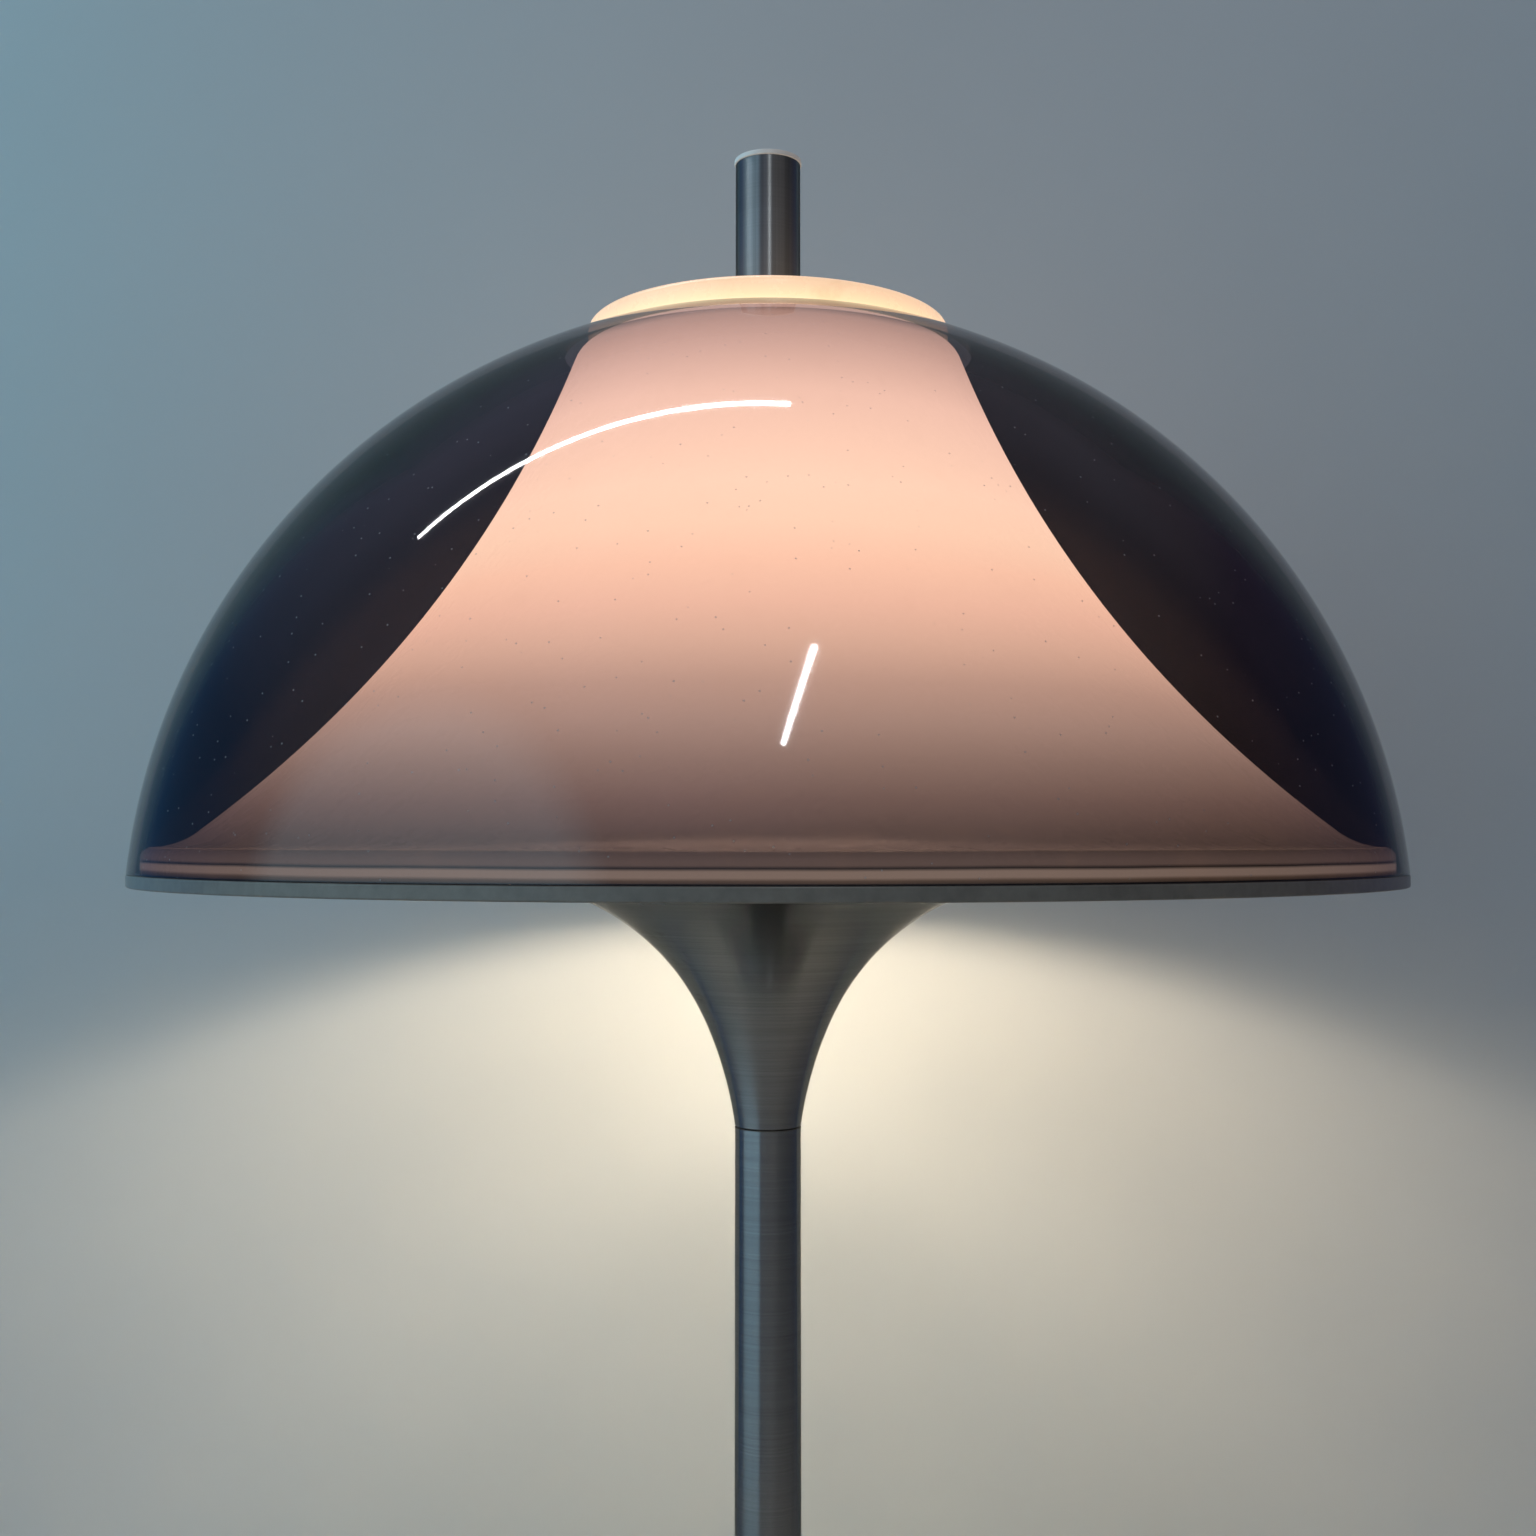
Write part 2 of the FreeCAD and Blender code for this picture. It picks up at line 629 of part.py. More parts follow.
def terminal_screw():
    """Fixing screw about Z, with the underside of its head at height 0 and its shank downward."""
    head = Part.makeCylinder(TERMINAL_SCREW_HEAD_RADIUS, TERMINAL_SCREW_HEAD_HEIGHT)
    shank_length = TERMINAL_HEIGHT + TERMINAL_SCREW_BITE
    shank = Part.makeCylinder(TERMINAL_SCREW_RADIUS, shank_length, at(0, -shank_length))
    return head.fuse(shank).removeSplitter()


def place_base_terminal(shape):
    """Terminal piece set on the ballast between the rod and the cord inlet."""
    return moved(shape, FreeCAD.Vector(0, BASE_TERMINAL_DISTANCE, terminal_height_base))


def place_head_terminal(shape):
    """Terminal piece hung under the holder plate, its barrels across the lamp."""
    copy = shape.copy()
    copy.rotate(ORIGIN, AXIS, 90)
    return moved(copy, FreeCAD.Vector(0, -head_terminal_distance, terminal_height_head))


def terminal_screws():
    """Screws of the two terminal blocks."""
    beside_way = FreeCAD.Vector(TERMINAL_PITCH / 2, 0, TERMINAL_HEIGHT / 2)
    base = place_base_terminal(moved(terminal_screw(), beside_way))
    hanging = terminal_screw()
    hanging.rotate(ORIGIN, FreeCAD.Vector(1, 0, 0), 180)
    head = place_head_terminal(moved(hanging, FreeCAD.Vector(0, 0, -TERMINAL_HEIGHT / 2)))
    return Part.makeCompound([base, head])


def riser_flex():
    """Flex from the base terminal block, up inside the rod, to the head terminal block."""
    face = BASE_TERMINAL_DISTANCE - TERMINAL_LENGTH / 2
    way = -(head_terminal_distance - TERMINAL_PITCH / 2)
    points = [
        FreeCAD.Vector(0, face, terminal_height_base),
        at(0, terminal_height_base),
        at(0, terminal_height_head),
        FreeCAD.Vector(0, RISER_LOOP_BACK, terminal_height_head),
        FreeCAD.Vector(RISER_LOOP_SIDE, RISER_LOOP_BACK, terminal_height_head),
        FreeCAD.Vector(RISER_LOOP_SIDE, way, terminal_height_head),
        FreeCAD.Vector(TERMINAL_LENGTH / 2, way, terminal_height_head),
    ]
    return flex(points, RISER_DIAMETER, RISER_BEND)


def holder_lead(index):
    """Lead from the head terminal block up through a lampholder's nipple to its contact."""
    place = holder_places()[index]
    beside_rod = abs(place.x) < TERMINAL_LENGTH / 2
    side = -1 if beside_rod or place.x < 0 else 1
    way = TERMINAL_PITCH / 2 if beside_rod else -TERMINAL_PITCH / 2
    start_y = way - head_terminal_distance
    face = side * TERMINAL_LENGTH / 2
    dip = terminal_height_head - LEAD_DIP
    points = [FreeCAD.Vector(face, start_y, terminal_height_head)]
    if beside_rod:
        points.append(FreeCAD.Vector(side * LEAD_SIDE, start_y, terminal_height_head))
        points.append(FreeCAD.Vector(side * LEAD_SIDE, LEAD_TURN, dip))
    else:
        points.append(FreeCAD.Vector(face + side * LEAD_RUN_OUT, start_y, terminal_height_head))
    points.append(FreeCAD.Vector(place.x, place.y, dip))
    points.append(FreeCAD.Vector(place.x, place.y, plate_top + CONTACT_HEIGHT))
    return flex(points, LEAD_DIAMETER, RISER_BEND)


def lampholder_body():
    """Moulded lampholder body, its foot at height 0."""
    shoulder_top = HOLDER_FOOT_HEIGHT + HOLDER_SHOULDER
    bore = shell_outer_radius + SEAT_GAP
    seat = CONTACT_RADIUS + SEAT_GAP
    hole = ROD_RADIUS + THREAD_GAP
    return turned([
        at(hole, 0), at(HOLDER_FOOT_RADIUS, 0), at(HOLDER_FOOT_RADIUS, HOLDER_FOOT_HEIGHT),
        at(HOLDER_RADIUS, shoulder_top), at(HOLDER_RADIUS, HOLDER_HEIGHT), at(bore, HOLDER_HEIGHT),
        at(bore, shell_bottom), at(seat, shell_bottom), at(seat, CONTACT_HEIGHT),
        at(HOLDER_CHAMBER_RADIUS, CONTACT_HEIGHT), at(HOLDER_CHAMBER_RADIUS, HOLDER_WEB),
        at(hole, HOLDER_WEB),
    ])


def lampholder_shell():
    """Brass screw shell inside a lampholder."""
    return ring(shell_inner_radius, shell_outer_radius, shell_bottom, SHELL_HEIGHT)


def lampholder_contact():
    """Brass contact strip across the bottom of a lampholder."""
    half = CONTACT_WIDTH / 2
    top = CONTACT_HEIGHT + CONTACT_THICKNESS
    strip = box(-CONTACT_RADIUS, CONTACT_RADIUS, -half, half, CONTACT_HEIGHT, top)
    return strip.common(Part.makeCylinder(CONTACT_RADIUS, CONTACT_THICKNESS, at(0, CONTACT_HEIGHT)))


def nipple():
    """Hollow nipple that holds a lampholder to the plate, about the plate's top face."""
    bottom = -(HOLDER_PLATE_THICKNESS + HOLDER_NUT_HEIGHT + NIPPLE_PROUD)
    return ring(ROD_BORE_RADIUS, ROD_RADIUS, bottom, HOLDER_WEB - bottom)


def holder_nipples():
    """Nipples of the lampholders."""
    return Part.makeCompound([moved(nipple(), place) for place in holder_places()])


def holder_nuts():
    """Nuts under the holder plate."""
    bottom = -(HOLDER_PLATE_THICKNESS + HOLDER_NUT_HEIGHT)
    nut = hex_nut(HOLDER_NUT_ACROSS_FLATS, HOLDER_NUT_HEIGHT, ROD_RADIUS + THREAD_GAP, bottom)
    return Part.makeCompound([moved(nut, place) for place in holder_places()])


def bulb_cap():
    """Screw cap of a bulb, about the plate's top face."""
    inner = CAP_RADIUS - CAP_WALL
    tip_top = cap_bottom + CAP_TIP_HEIGHT
    taper_top = tip_top + CAP_TAPER
    return turned([
        at(0, cap_bottom), at(CAP_TIP_RADIUS, cap_bottom), at(CAP_TIP_RADIUS, tip_top),
        at(CAP_RADIUS, taper_top), at(CAP_RADIUS, cap_top), at(inner, cap_top),
        at(inner, taper_top + CAP_WALL), at(0, tip_top + CAP_WALL),
    ])


def bulb_skin(inset):
    """Edges of a bulb's surface set in by inset, from the neck's end to the crown, and its two end points."""
    radius = BULB_RADIUS - inset
    neck_radius = CAP_RADIUS - CAP_WALL - SEAT_GAP - inset
    centre = at(0, cap_top + BULB_CENTRE)
    neck_top = cap_top + BULB_NECK_STRAIGHT
    rise = BULB_CENTRE - BULB_NECK_STRAIGHT
    neck_arc = (rise ** 2 + neck_radius ** 2 - radius ** 2) / (2 * (radius - neck_radius))
    neck_centre = at(neck_radius + neck_arc, neck_top)
    slope = math.atan2(-rise, neck_radius + neck_arc)
    low = at(neck_radius, cap_top - BULB_SINK)
    crown = at(0, centre.z + radius)
    edges = [
        line(low, at(neck_radius, neck_top)),
        arc(neck_centre, neck_arc, math.pi, math.pi + slope),
        arc(centre, radius, slope, math.pi / 2),
    ]
    return edges, low, crown


def bulb_glass():
    """Glass envelope of a bulb, about the plate's top face."""
    outer, outer_low, outer_crown = bulb_skin(0.0)
    inner, inner_low, inner_crown = bulb_skin(BULB_WALL)
    return lathe(outer + inner + [line(outer_low, inner_low), line(outer_crown, inner_crown)])


def shade_spider():
    """Ring on three arms that carries the bell's flange."""
    outer = bell_neck_radius - BELL_WALL - SPIDER_RING_GAP
    inner = outer - SPIDER_RING_WIDTH
    spider = ring(inner, outer, spider_bottom, SPIDER_THICKNESS)
    spider = spider.fuse(Part.makeCylinder(SPIDER_HUB_RADIUS, SPIDER_THICKNESS, at(0, spider_bottom)))
    half = SPIDER_ARM_WIDTH / 2
    arm = box(0, (inner + outer) / 2, -half, half, spider_bottom, bell_flange_bottom)
    for index in range(SPIDER_ARMS):
        turned_arm = arm.copy()
        turned_arm.rotate(ORIGIN, AXIS, 360.0 * index / SPIDER_ARMS + HOLDER_FIRST_ANGLE)
        spider = spider.fuse(turned_arm)
    hole = rod_along(at(0, spider_bottom), AXIS, ROD_RADIUS + SEAT_GAP, SPIDER_THICKNESS)
    return spider.cut(hole).removeSplitter()


def opal_diffuser():
    """Opal bell with a flange at its neck, a brim, and a lip that carries the dome."""
    neck_point = at(bell_neck_radius, bell_top)
    chord = at(lip_radius - BELL_BRIM_WIDTH, brim) - neck_point
    bell_arc = (chord.Length ** 2 / 4 + BELL_SAG ** 2) / (2 * BELL_SAG)
    outward = at(-chord.z, chord.x)
    outward.normalize()
    centre = neck_point + chord * 0.5 + outward * (bell_arc - BELL_SAG)
    neck = math.atan2(neck_point.z - centre.z, neck_point.x - centre.x)
    fillet_rise = brim + BELL_BRIM_FILLET - centre.z
    fillet_aside = math.sqrt((bell_arc - BELL_BRIM_FILLET) ** 2 - fillet_rise ** 2)
    fillet_centre = at(centre.x - fillet_aside, brim + BELL_BRIM_FILLET)
    slope = math.atan2(fillet_rise, -fillet_aside)
    foot = -math.pi / 2
    lip_inner = lip_radius - BELL_WALL
    corner_centre = at(lip_radius - LIP_CORNER, brim - LIP_CORNER)
    inner_arc = bell_arc + BELL_WALL
    inner_neck = -math.pi - math.asin((bell_flange_bottom - centre.z) / inner_arc)
    hole = BELL_FLANGE_HOLE / 2
    brim_under = brim - BELL_WALL
    outer = [
        arc(centre, bell_arc, neck, slope),
        arc(fillet_centre, BELL_BRIM_FILLET, slope, foot),
        line(at(fillet_centre.x, brim), at(corner_centre.x, brim)),
        arc(corner_centre, LIP_CORNER, math.pi / 2, 0.0),
    ]
    lip = polyline([
        at(lip_radius, corner_centre.z), at(lip_radius, ledge), at(SHADE_RADIUS, ledge),
        at(SHADE_RADIUS, rim), at(lip_inner, rim), at(lip_inner, brim_under),
        at(fillet_centre.x, brim_under),
    ])
    inner = [
        arc(fillet_centre, BELL_BRIM_FILLET + BELL_WALL, slope, foot),
        arc(centre, inner_arc, inner_neck, slope),
    ]
    flange = polyline([
        polar(centre, inner_arc, inner_neck), at(hole, bell_flange_bottom), at(hole, bell_top),
        at(bell_neck_radius, bell_top),
    ])
    return lathe(outer + lip + inner + flange)


def dome_skin(inset):
    """Lower and upper arcs of the dome's surface set in by inset."""
    lower = arc(dome_lower_centre, DOME_LOWER_ARC - inset, dome_edge_angle(inset), change_angle)
    upper = arc(dome_upper_centre, DOME_UPPER_ARC - inset, change_angle, dome_opening_angle(inset))
    return [lower, upper]


def smoked_dome():
    """Smoked dome that stands on the bell's lip, open at the top."""
    inner_foot = polar(dome_lower_centre, DOME_LOWER_ARC - DOME_WALL, dome_edge_angle(DOME_WALL))
    foot = line(at(SHADE_RADIUS, ledge), inner_foot)
    inner_opening = polar(dome_upper_centre, DOME_UPPER_ARC - DOME_WALL, dome_opening_angle(DOME_WALL))
    opening = line(at(DOME_OPENING_RADIUS, opening_height), inner_opening)
    return lathe(dome_skin(0.0) + dome_skin(DOME_WALL) + [foot, opening])


def top_cap():
    """Shallow lid over the bell's neck, with a hole for the rod."""
    hole = ROD_RADIUS + PASS_GAP
    inner = lid_radius - LID_WALL
    ceiling = lid_top - LID_WALL
    round_centre = at(lid_radius - LID_EDGE_FILLET, lid_top - LID_EDGE_FILLET)
    straight = polyline([
        at(round_centre.x, lid_top), at(hole, lid_top), at(hole, ceiling), at(inner, ceiling),
        at(inner, bell_top), at(lid_radius, bell_top), at(lid_radius, round_centre.z),
    ])
    return lathe(straight + [arc(round_centre, LID_EDGE_FILLET, 0.0, math.pi / 2)])


def finial_washer():
    """Washer between the lid and the finial."""
    radius = TUBE_RADIUS - FINIAL_WASHER_INSET
    return ring(ROD_RADIUS + PASS_GAP, radius, lid_top, FINIAL_WASHER_THICKNESS)


def finial_bush():
    """Threaded bush in the lower end of the finial tube."""
    outer = TUBE_RADIUS - TUBE_WALL - SEAT_GAP
    return ring(ROD_RADIUS + THREAD_GAP, outer, finial_bottom, FINIAL_BUSH_LENGTH)


def finial_tube():
    """Tube that is screwed down on the lid."""
    return ring(TUBE_RADIUS - TUBE_WALL, TUBE_RADIUS, finial_bottom, FINIAL_LENGTH)


def finial_cap():
    """White plug in the top of the finial tube, with a slightly crowned flange."""
    spigot = TUBE_RADIUS - TUBE_WALL - SEAT_GAP
    flange = TUBE_RADIUS + FINIAL_CAP_OVERHANG
    flange_top = finial_top + FINIAL_CAP_FLANGE
    crown_radius = (flange ** 2 + FINIAL_CAP_CROWN ** 2) / (2 * FINIAL_CAP_CROWN)
    crown_centre = at(0, flange_top + FINIAL_CAP_CROWN - crown_radius)
    crown_edge = math.acos(flange / crown_radius)
    straight = polyline([
        at(0, flange_top + FINIAL_CAP_CROWN), at(0, finial_top - FINIAL_CAP_SPIGOT),
        at(spigot, finial_top - FINIAL_CAP_SPIGOT), at(spigot, finial_top), at(flange, finial_top),
        at(flange, flange_top),
    ])
    return lathe(straight + [arc(crown_centre, crown_radius, crown_edge, math.pi / 2)])


def foot_pieces():
    """Nodes of the foot and the cord inlet."""
    base_block = place_base_terminal(terminal_block(3, TERMINAL_PITCH / 2))
    return {
        "felt_pad": felt_pad(),
        "base_plate": base_plate(),
        "base_plate_screws": base_plate_screws(),
        "ballast": ballast(),
        "foot_shell": foot_shell(),
        "cord_grommet": cord_grommet(),
        "base_terminal_block": base_block,
        "base_terminal_barrels": place_base_terminal(terminal_barrels(3)),
        "terminal_screws": terminal_screws(),
    }


def stem_pieces():
    """Nodes of the stem, the rod and the head."""
    return {
        "stem_lower_bush": stem_bush(foot_flare),
        "stem_tube": stem_tube(),
        "stem_upper_bush": stem_bush(head_flare),
        "tie_rod": tie_rod(),
        "rod_nuts": rod_nuts(),
        "rod_washers": rod_washers(),
        "head_trumpet": head_trumpet(),
        "holder_plate": holder_plate(),
        "head_terminal_block": place_head_terminal(terminal_block(2, 0.0)),
        "head_terminal_barrels": place_head_terminal(terminal_barrels(2)),
        "riser_flex": riser_flex(),
    }


def lamp_pieces():
    """Nodes of the lampholders, their leads and the bulbs."""
    pieces = {"holder_nipples": holder_nipples(), "holder_nuts": holder_nuts()}
    for index, place in enumerate(holder_places()):
        number = index + 1
        pieces["holder_lead_%d" % number] = holder_lead(index)
        pieces["lampholder_body_%d" % number] = moved(lampholder_body(), place)
        pieces["lampholder_shell_%d" % number] = moved(lampholder_shell(), place)
        pieces["lampholder_contact_%d" % number] = moved(lampholder_contact(), place)
        pieces["bulb_cap_%d" % number] = moved(bulb_cap(), place)
        pieces["bulb_glass_%d" % number] = moved(bulb_glass(), place)
    return pieces


def shade_pieces():
    """Nodes of the shade, the lid and the finial."""
    return {
        "shade_spider": shade_spider(),
        "opal_diffuser": opal_diffuser(),
        "smoked_dome": smoked_dome(),
        "top_cap": top_cap(),
        "finial_washer": finial_washer(),
        "finial_bush": finial_bush(),
        "finial_tube": finial_tube(),
        "finial_cap": finial_cap(),
    }


def main():
    """Build every node and write it to parts/."""
    os.makedirs("parts", exist_ok=True)
    for pieces in (foot_pieces(), stem_pieces(), lamp_pieces(), shade_pieces()):
        for name, shape in pieces.items():
            shape.exportStep("parts/%s.step" % name)
            state = "valid" if shape.isValid() else "NOT VALID"
            print("%-22s solids %d %s volume %.1f" % (name, len(shape.Solids), state, shape.Volume))
    print("rim %.2f bell top %.2f lid top %.2f finial top %.2f" % (rim, bell_top, lid_top, finial_top))
    print("foot top %.2f stem top %.2f plate top %.2f" % (foot_top, stem_top, plate_top))


main()
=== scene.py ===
"""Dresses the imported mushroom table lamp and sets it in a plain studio.

Lengths are metres in the frame's own axes: +Z is up and the lamp's front looks towards -Y.
"""

import logging
import math
from abc import ABC, abstractmethod
from dataclasses import dataclass, field
from enum import Enum
from typing import Any, Callable, Optional, Union

import bpy
from mathutils import Matrix, Vector

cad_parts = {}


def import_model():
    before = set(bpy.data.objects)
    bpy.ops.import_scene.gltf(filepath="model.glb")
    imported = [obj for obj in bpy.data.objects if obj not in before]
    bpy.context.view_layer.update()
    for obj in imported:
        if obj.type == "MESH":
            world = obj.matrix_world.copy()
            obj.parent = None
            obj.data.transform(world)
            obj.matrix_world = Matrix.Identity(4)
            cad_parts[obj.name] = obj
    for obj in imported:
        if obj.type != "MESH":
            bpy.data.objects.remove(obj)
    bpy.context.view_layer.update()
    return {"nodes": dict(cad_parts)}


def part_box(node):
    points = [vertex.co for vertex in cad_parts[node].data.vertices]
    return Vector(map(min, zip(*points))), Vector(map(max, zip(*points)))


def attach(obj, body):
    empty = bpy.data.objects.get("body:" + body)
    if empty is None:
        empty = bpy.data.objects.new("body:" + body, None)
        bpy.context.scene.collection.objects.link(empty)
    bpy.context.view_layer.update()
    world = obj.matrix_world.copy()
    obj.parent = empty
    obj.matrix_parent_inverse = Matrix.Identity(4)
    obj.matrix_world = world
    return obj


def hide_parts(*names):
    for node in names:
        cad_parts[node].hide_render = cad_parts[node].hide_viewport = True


LOG = logging.getLogger("lamp")

Point = tuple[float, float]
Range = tuple[float, float]
Place = tuple[float, float, float]
Colour = tuple[float, float, float]
Stops = tuple[tuple[float, Colour], ...]
Relief = Callable[[float, float], float]
Socket = bpy.types.NodeSocket
Inputs = dict[Union[str, int], Any]

WHOLE = (0.0, 1.0)
UPRIGHT = math.pi / 2.0
WHITE = (1.0, 1.0, 1.0)
WHITE_LIGHT = (0.96, 0.98, 1.0)
BEYOND = 9.0  # farther off than the studio reaches

# Turned pieces: the flats round them, and how their sharp corners are softened.
TURN_STEPS = 180
EDGE_SOFTNESS = 0.0004
CORNER_TURN = math.radians(12.0)  # a line that turns more has a sharp corner
CORNER_SHARE = 0.45  # as much of a line as its corner's rounding may take
CORNER_STEPS = 5
EASE_START = 0.2  # where an eased edge leaves its upright side, in radians
ON_AXIS = 1e-9  # a point with a smaller radius is on the axis
OUTER_WALL = 0.5  # a wall whose normal points out more than this has the thread


class Body(Enum):
    """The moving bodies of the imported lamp."""

    ROOT = "root"
    BELL = "bell"
    DOME = "dome"
    LID = "lid"
    FINIAL = "finial"
    BULB_1 = "bulb_1"
    BULB_2 = "bulb_2"
    BULB_3 = "bulb_3"


class Lean(Enum):
    """How a turned surface's radius goes with its height, for grooves that follow it."""

    STRAIGHT = 0.0
    OPENS_UP = 1.0
    OPENS_DOWN = -1.0


class Graph:
    """The node tree of a material or of the world, written node by node."""

    def __init__(self, owner: Union[bpy.types.Material, bpy.types.World]) -> None:
        """Clear the owner's tree and keep it.

        Args:
            owner: the material or the world.
        """
        owner.use_nodes = True
        self.tree = owner.node_tree
        self.tree.nodes.clear()

    def node(self, kind: str, inputs: Optional[Inputs] = None, **settings: Any) -> bpy.types.Node:
        """Add a node.

        Args:
            kind: Blender's name for the node type.
            inputs: for each input socket, a value or a socket to link from.
            **settings: attributes of the node.

        Returns:
            The new node.
        """
        node = self.tree.nodes.new(kind)
        for key, value in settings.items():
            setattr(node, key, value)
        for key, value in (inputs or {}).items():
            socket = node.inputs[key]
            if isinstance(value, Socket):
                self.tree.links.new(value, socket)
            elif socket.type == "RGBA" and len(value) == 3:
                socket.default_value = (*value, 1.0)
            else:
                socket.default_value = value
        return node

    def place(self) -> Socket:
        """Return the object's own coordinates, which are the frame's."""
        return self.node("ShaderNodeTexCoord").outputs["Object"]

    def axes(self, vector: Socket) -> tuple[Socket, ...]:
        """Split a vector, and return its x, y and z."""
        return tuple(self.node("ShaderNodeSeparateXYZ", {"Vector": vector}).outputs)

    def math(self, operation: str, *values: Union[float, Socket]) -> Socket:
        """Work numbers or sockets out by Blender's name for the operation, and return the result."""
        return self.node("ShaderNodeMath", dict(enumerate(values)), operation=operation).outputs[0]

    def measure(self, operation: str, *vectors: Union[Place, Socket]) -> Socket:
        """Work a number out from vectors by Blender's name for the operation, and return it."""
        inputs = dict(enumerate(vectors))
        return self.node("ShaderNodeVectorMath", inputs, operation=operation).outputs["Value"]

    def weighed(self, first: Socket, second: Socket, share: float) -> Socket:
        """Return the sum of that share of the first value and the rest of the second."""
        return self.math("MULTIPLY_ADD", first, share, self.math("MULTIPLY", second, 1.0 - share))

    def swayed(self, value: Socket, pattern: Socket, amount: float) -> Socket:
        """Return the value, moved up and down by that amount of a pattern of 0 to 1."""
        return self.math("MULTIPLY_ADD", self.math("SUBTRACT", pattern, 0.5), amount, value)

    def remap(self, value: Socket, source: Range, target: Range = WHOLE) -> Socket:
        """Carry a value from its source range to the target range, hold it there, and return it."""
        ends = dict(zip(("From Min", "From Max", "To Min", "To Max"), (*source, *target)))
        return self.node("ShaderNodeMapRange", {"Value": value, **ends}).outputs["Result"]

    def stretched(self, vector: Socket, scale: Place) -> Socket:
        """Return the vector with each axis scaled by its own number."""
        return self.node("ShaderNodeMapping", {"Vector": vector, "Scale": scale}).outputs["Vector"]

    def noise(self, vector: Socket, scale: float, detail: float = 4.0, roughness: float = 0.5) -> Socket:
        """Return a soft random pattern of about 0 to 1, with scale as its blotches to a metre."""
        inputs = {"Vector": vector, "Scale": scale, "Detail": detail, "Roughness": roughness}
        return self.node("ShaderNodeTexNoise", inputs).outputs[0]

    def flecks(self, scale: float, size: float, rarity: float) -> Socket:
        """Scatter tiny flecks.

        Args:
            scale: how many cells, each with one fleck, there are to a metre.
            size: a fleck's radius as a share of its cell.
            rarity: the share of the cells that stay bare.

        Returns:
            A value of 1 on a fleck and 0 elsewhere.
        """
        cells = self.node("ShaderNodeTexVoronoi", {"Vector": self.place(), "Scale": scale})
        spot = self.remap(cells.outputs["Distance"], (0.5 * size, size), (1.0, 0.0))
        luck = self.axes(cells.outputs["Color"])[0]
        return self.math("MULTIPLY", spot, self.math("GREATER_THAN", luck, rarity))

    def grooves(self, lean: Lean) -> Socket:
        """Give coordinates for rings round the lamp's axis.

        Args:
            lean: how the surface's radius goes with its height.

        Returns:
            A vector of x, y and the way along the surface.
        """
        x, y, z = self.axes(self.place())
        flat = self.node("ShaderNodeCombineXYZ", {"X": x, "Y": y}).outputs[0]
        along = self.math("MULTIPLY_ADD", self.measure("LENGTH", flat), lean.value, z)
        return self.node("ShaderNodeCombineXYZ", {"X": x, "Y": y, "Z": along}).outputs[0]

    def ramp(self, factor: Socket, stops: Stops) -> Socket:
        """Colour a value.

        Args:
            factor: the value, 0 to 1.
            stops: places on it and their colours, in order.

        Returns:
            The colour's socket.
        """
        node = self.node("ShaderNodeValToRGB", {"Fac": factor})
        elements = node.color_ramp.elements
        while len(elements) < len(stops):
            elements.new(1.0)
        for element, (place, colour) in zip(elements, stops):
            element.position = place
            element.color = (*colour, 1.0)
        return node.outputs["Color"]

    def blend(self, factor: Socket, first: Any, second: Any) -> Socket:
        """Return the mix of two colours, where the factor is how much of the second there is."""
        return self.node("ShaderNodeMix", {0: factor, 6: first, 7: second}, data_type="RGBA").outputs[2]

    def bump(self, pattern: Socket, strength: float, depth: float) -> Socket:
        """Turn a pattern into relief of a depth in metres, and return its normal."""
        inputs = {"Height": pattern, "Strength": strength, "Distance": depth}
        return self.node("ShaderNodeBump", inputs).outputs["Normal"]

    def principled(self, inputs: Inputs) -> Socket:
        """Add the common surface shader and return its output."""
        return self.node("ShaderNodeBsdfPrincipled", inputs).outputs[0]

    def mixed(self, factor: Any, first: Socket, second: Socket) -> Socket:
        """Return the mix of two shaders, where the factor is how much of the second there is."""
        return self.node("ShaderNodeMixShader", {0: factor, 1: first, 2: second}).outputs[0]

    def clear(self, tint: Any = WHITE) -> Socket:
        """Add a shader that lets light through with a tint, and return its output."""
        return self.node("ShaderNodeBsdfTransparent", {"Color": tint}).outputs[0]

    def surface(self, shader: Socket) -> None:
        """Make the shader the material's surface."""
        self.node("ShaderNodeOutputMaterial", {"Surface": shader})


@dataclass(frozen=True)
class Finish(ABC):
    """A finish that any number of pieces can take."""

    name: str

    @abstractmethod
    def write(self, graph: Graph) -> None:
        """Write the finish's nodes into the graph."""

    def material(self) -> bpy.types.Material:
        """Make the finish's material when it is first asked for.

        Returns:
            The material.
        """
        found = bpy.data.materials.get(self.name)
        if found is None:
            found = bpy.data.materials.new(self.name)
            self.write(Graph(found))
        return found


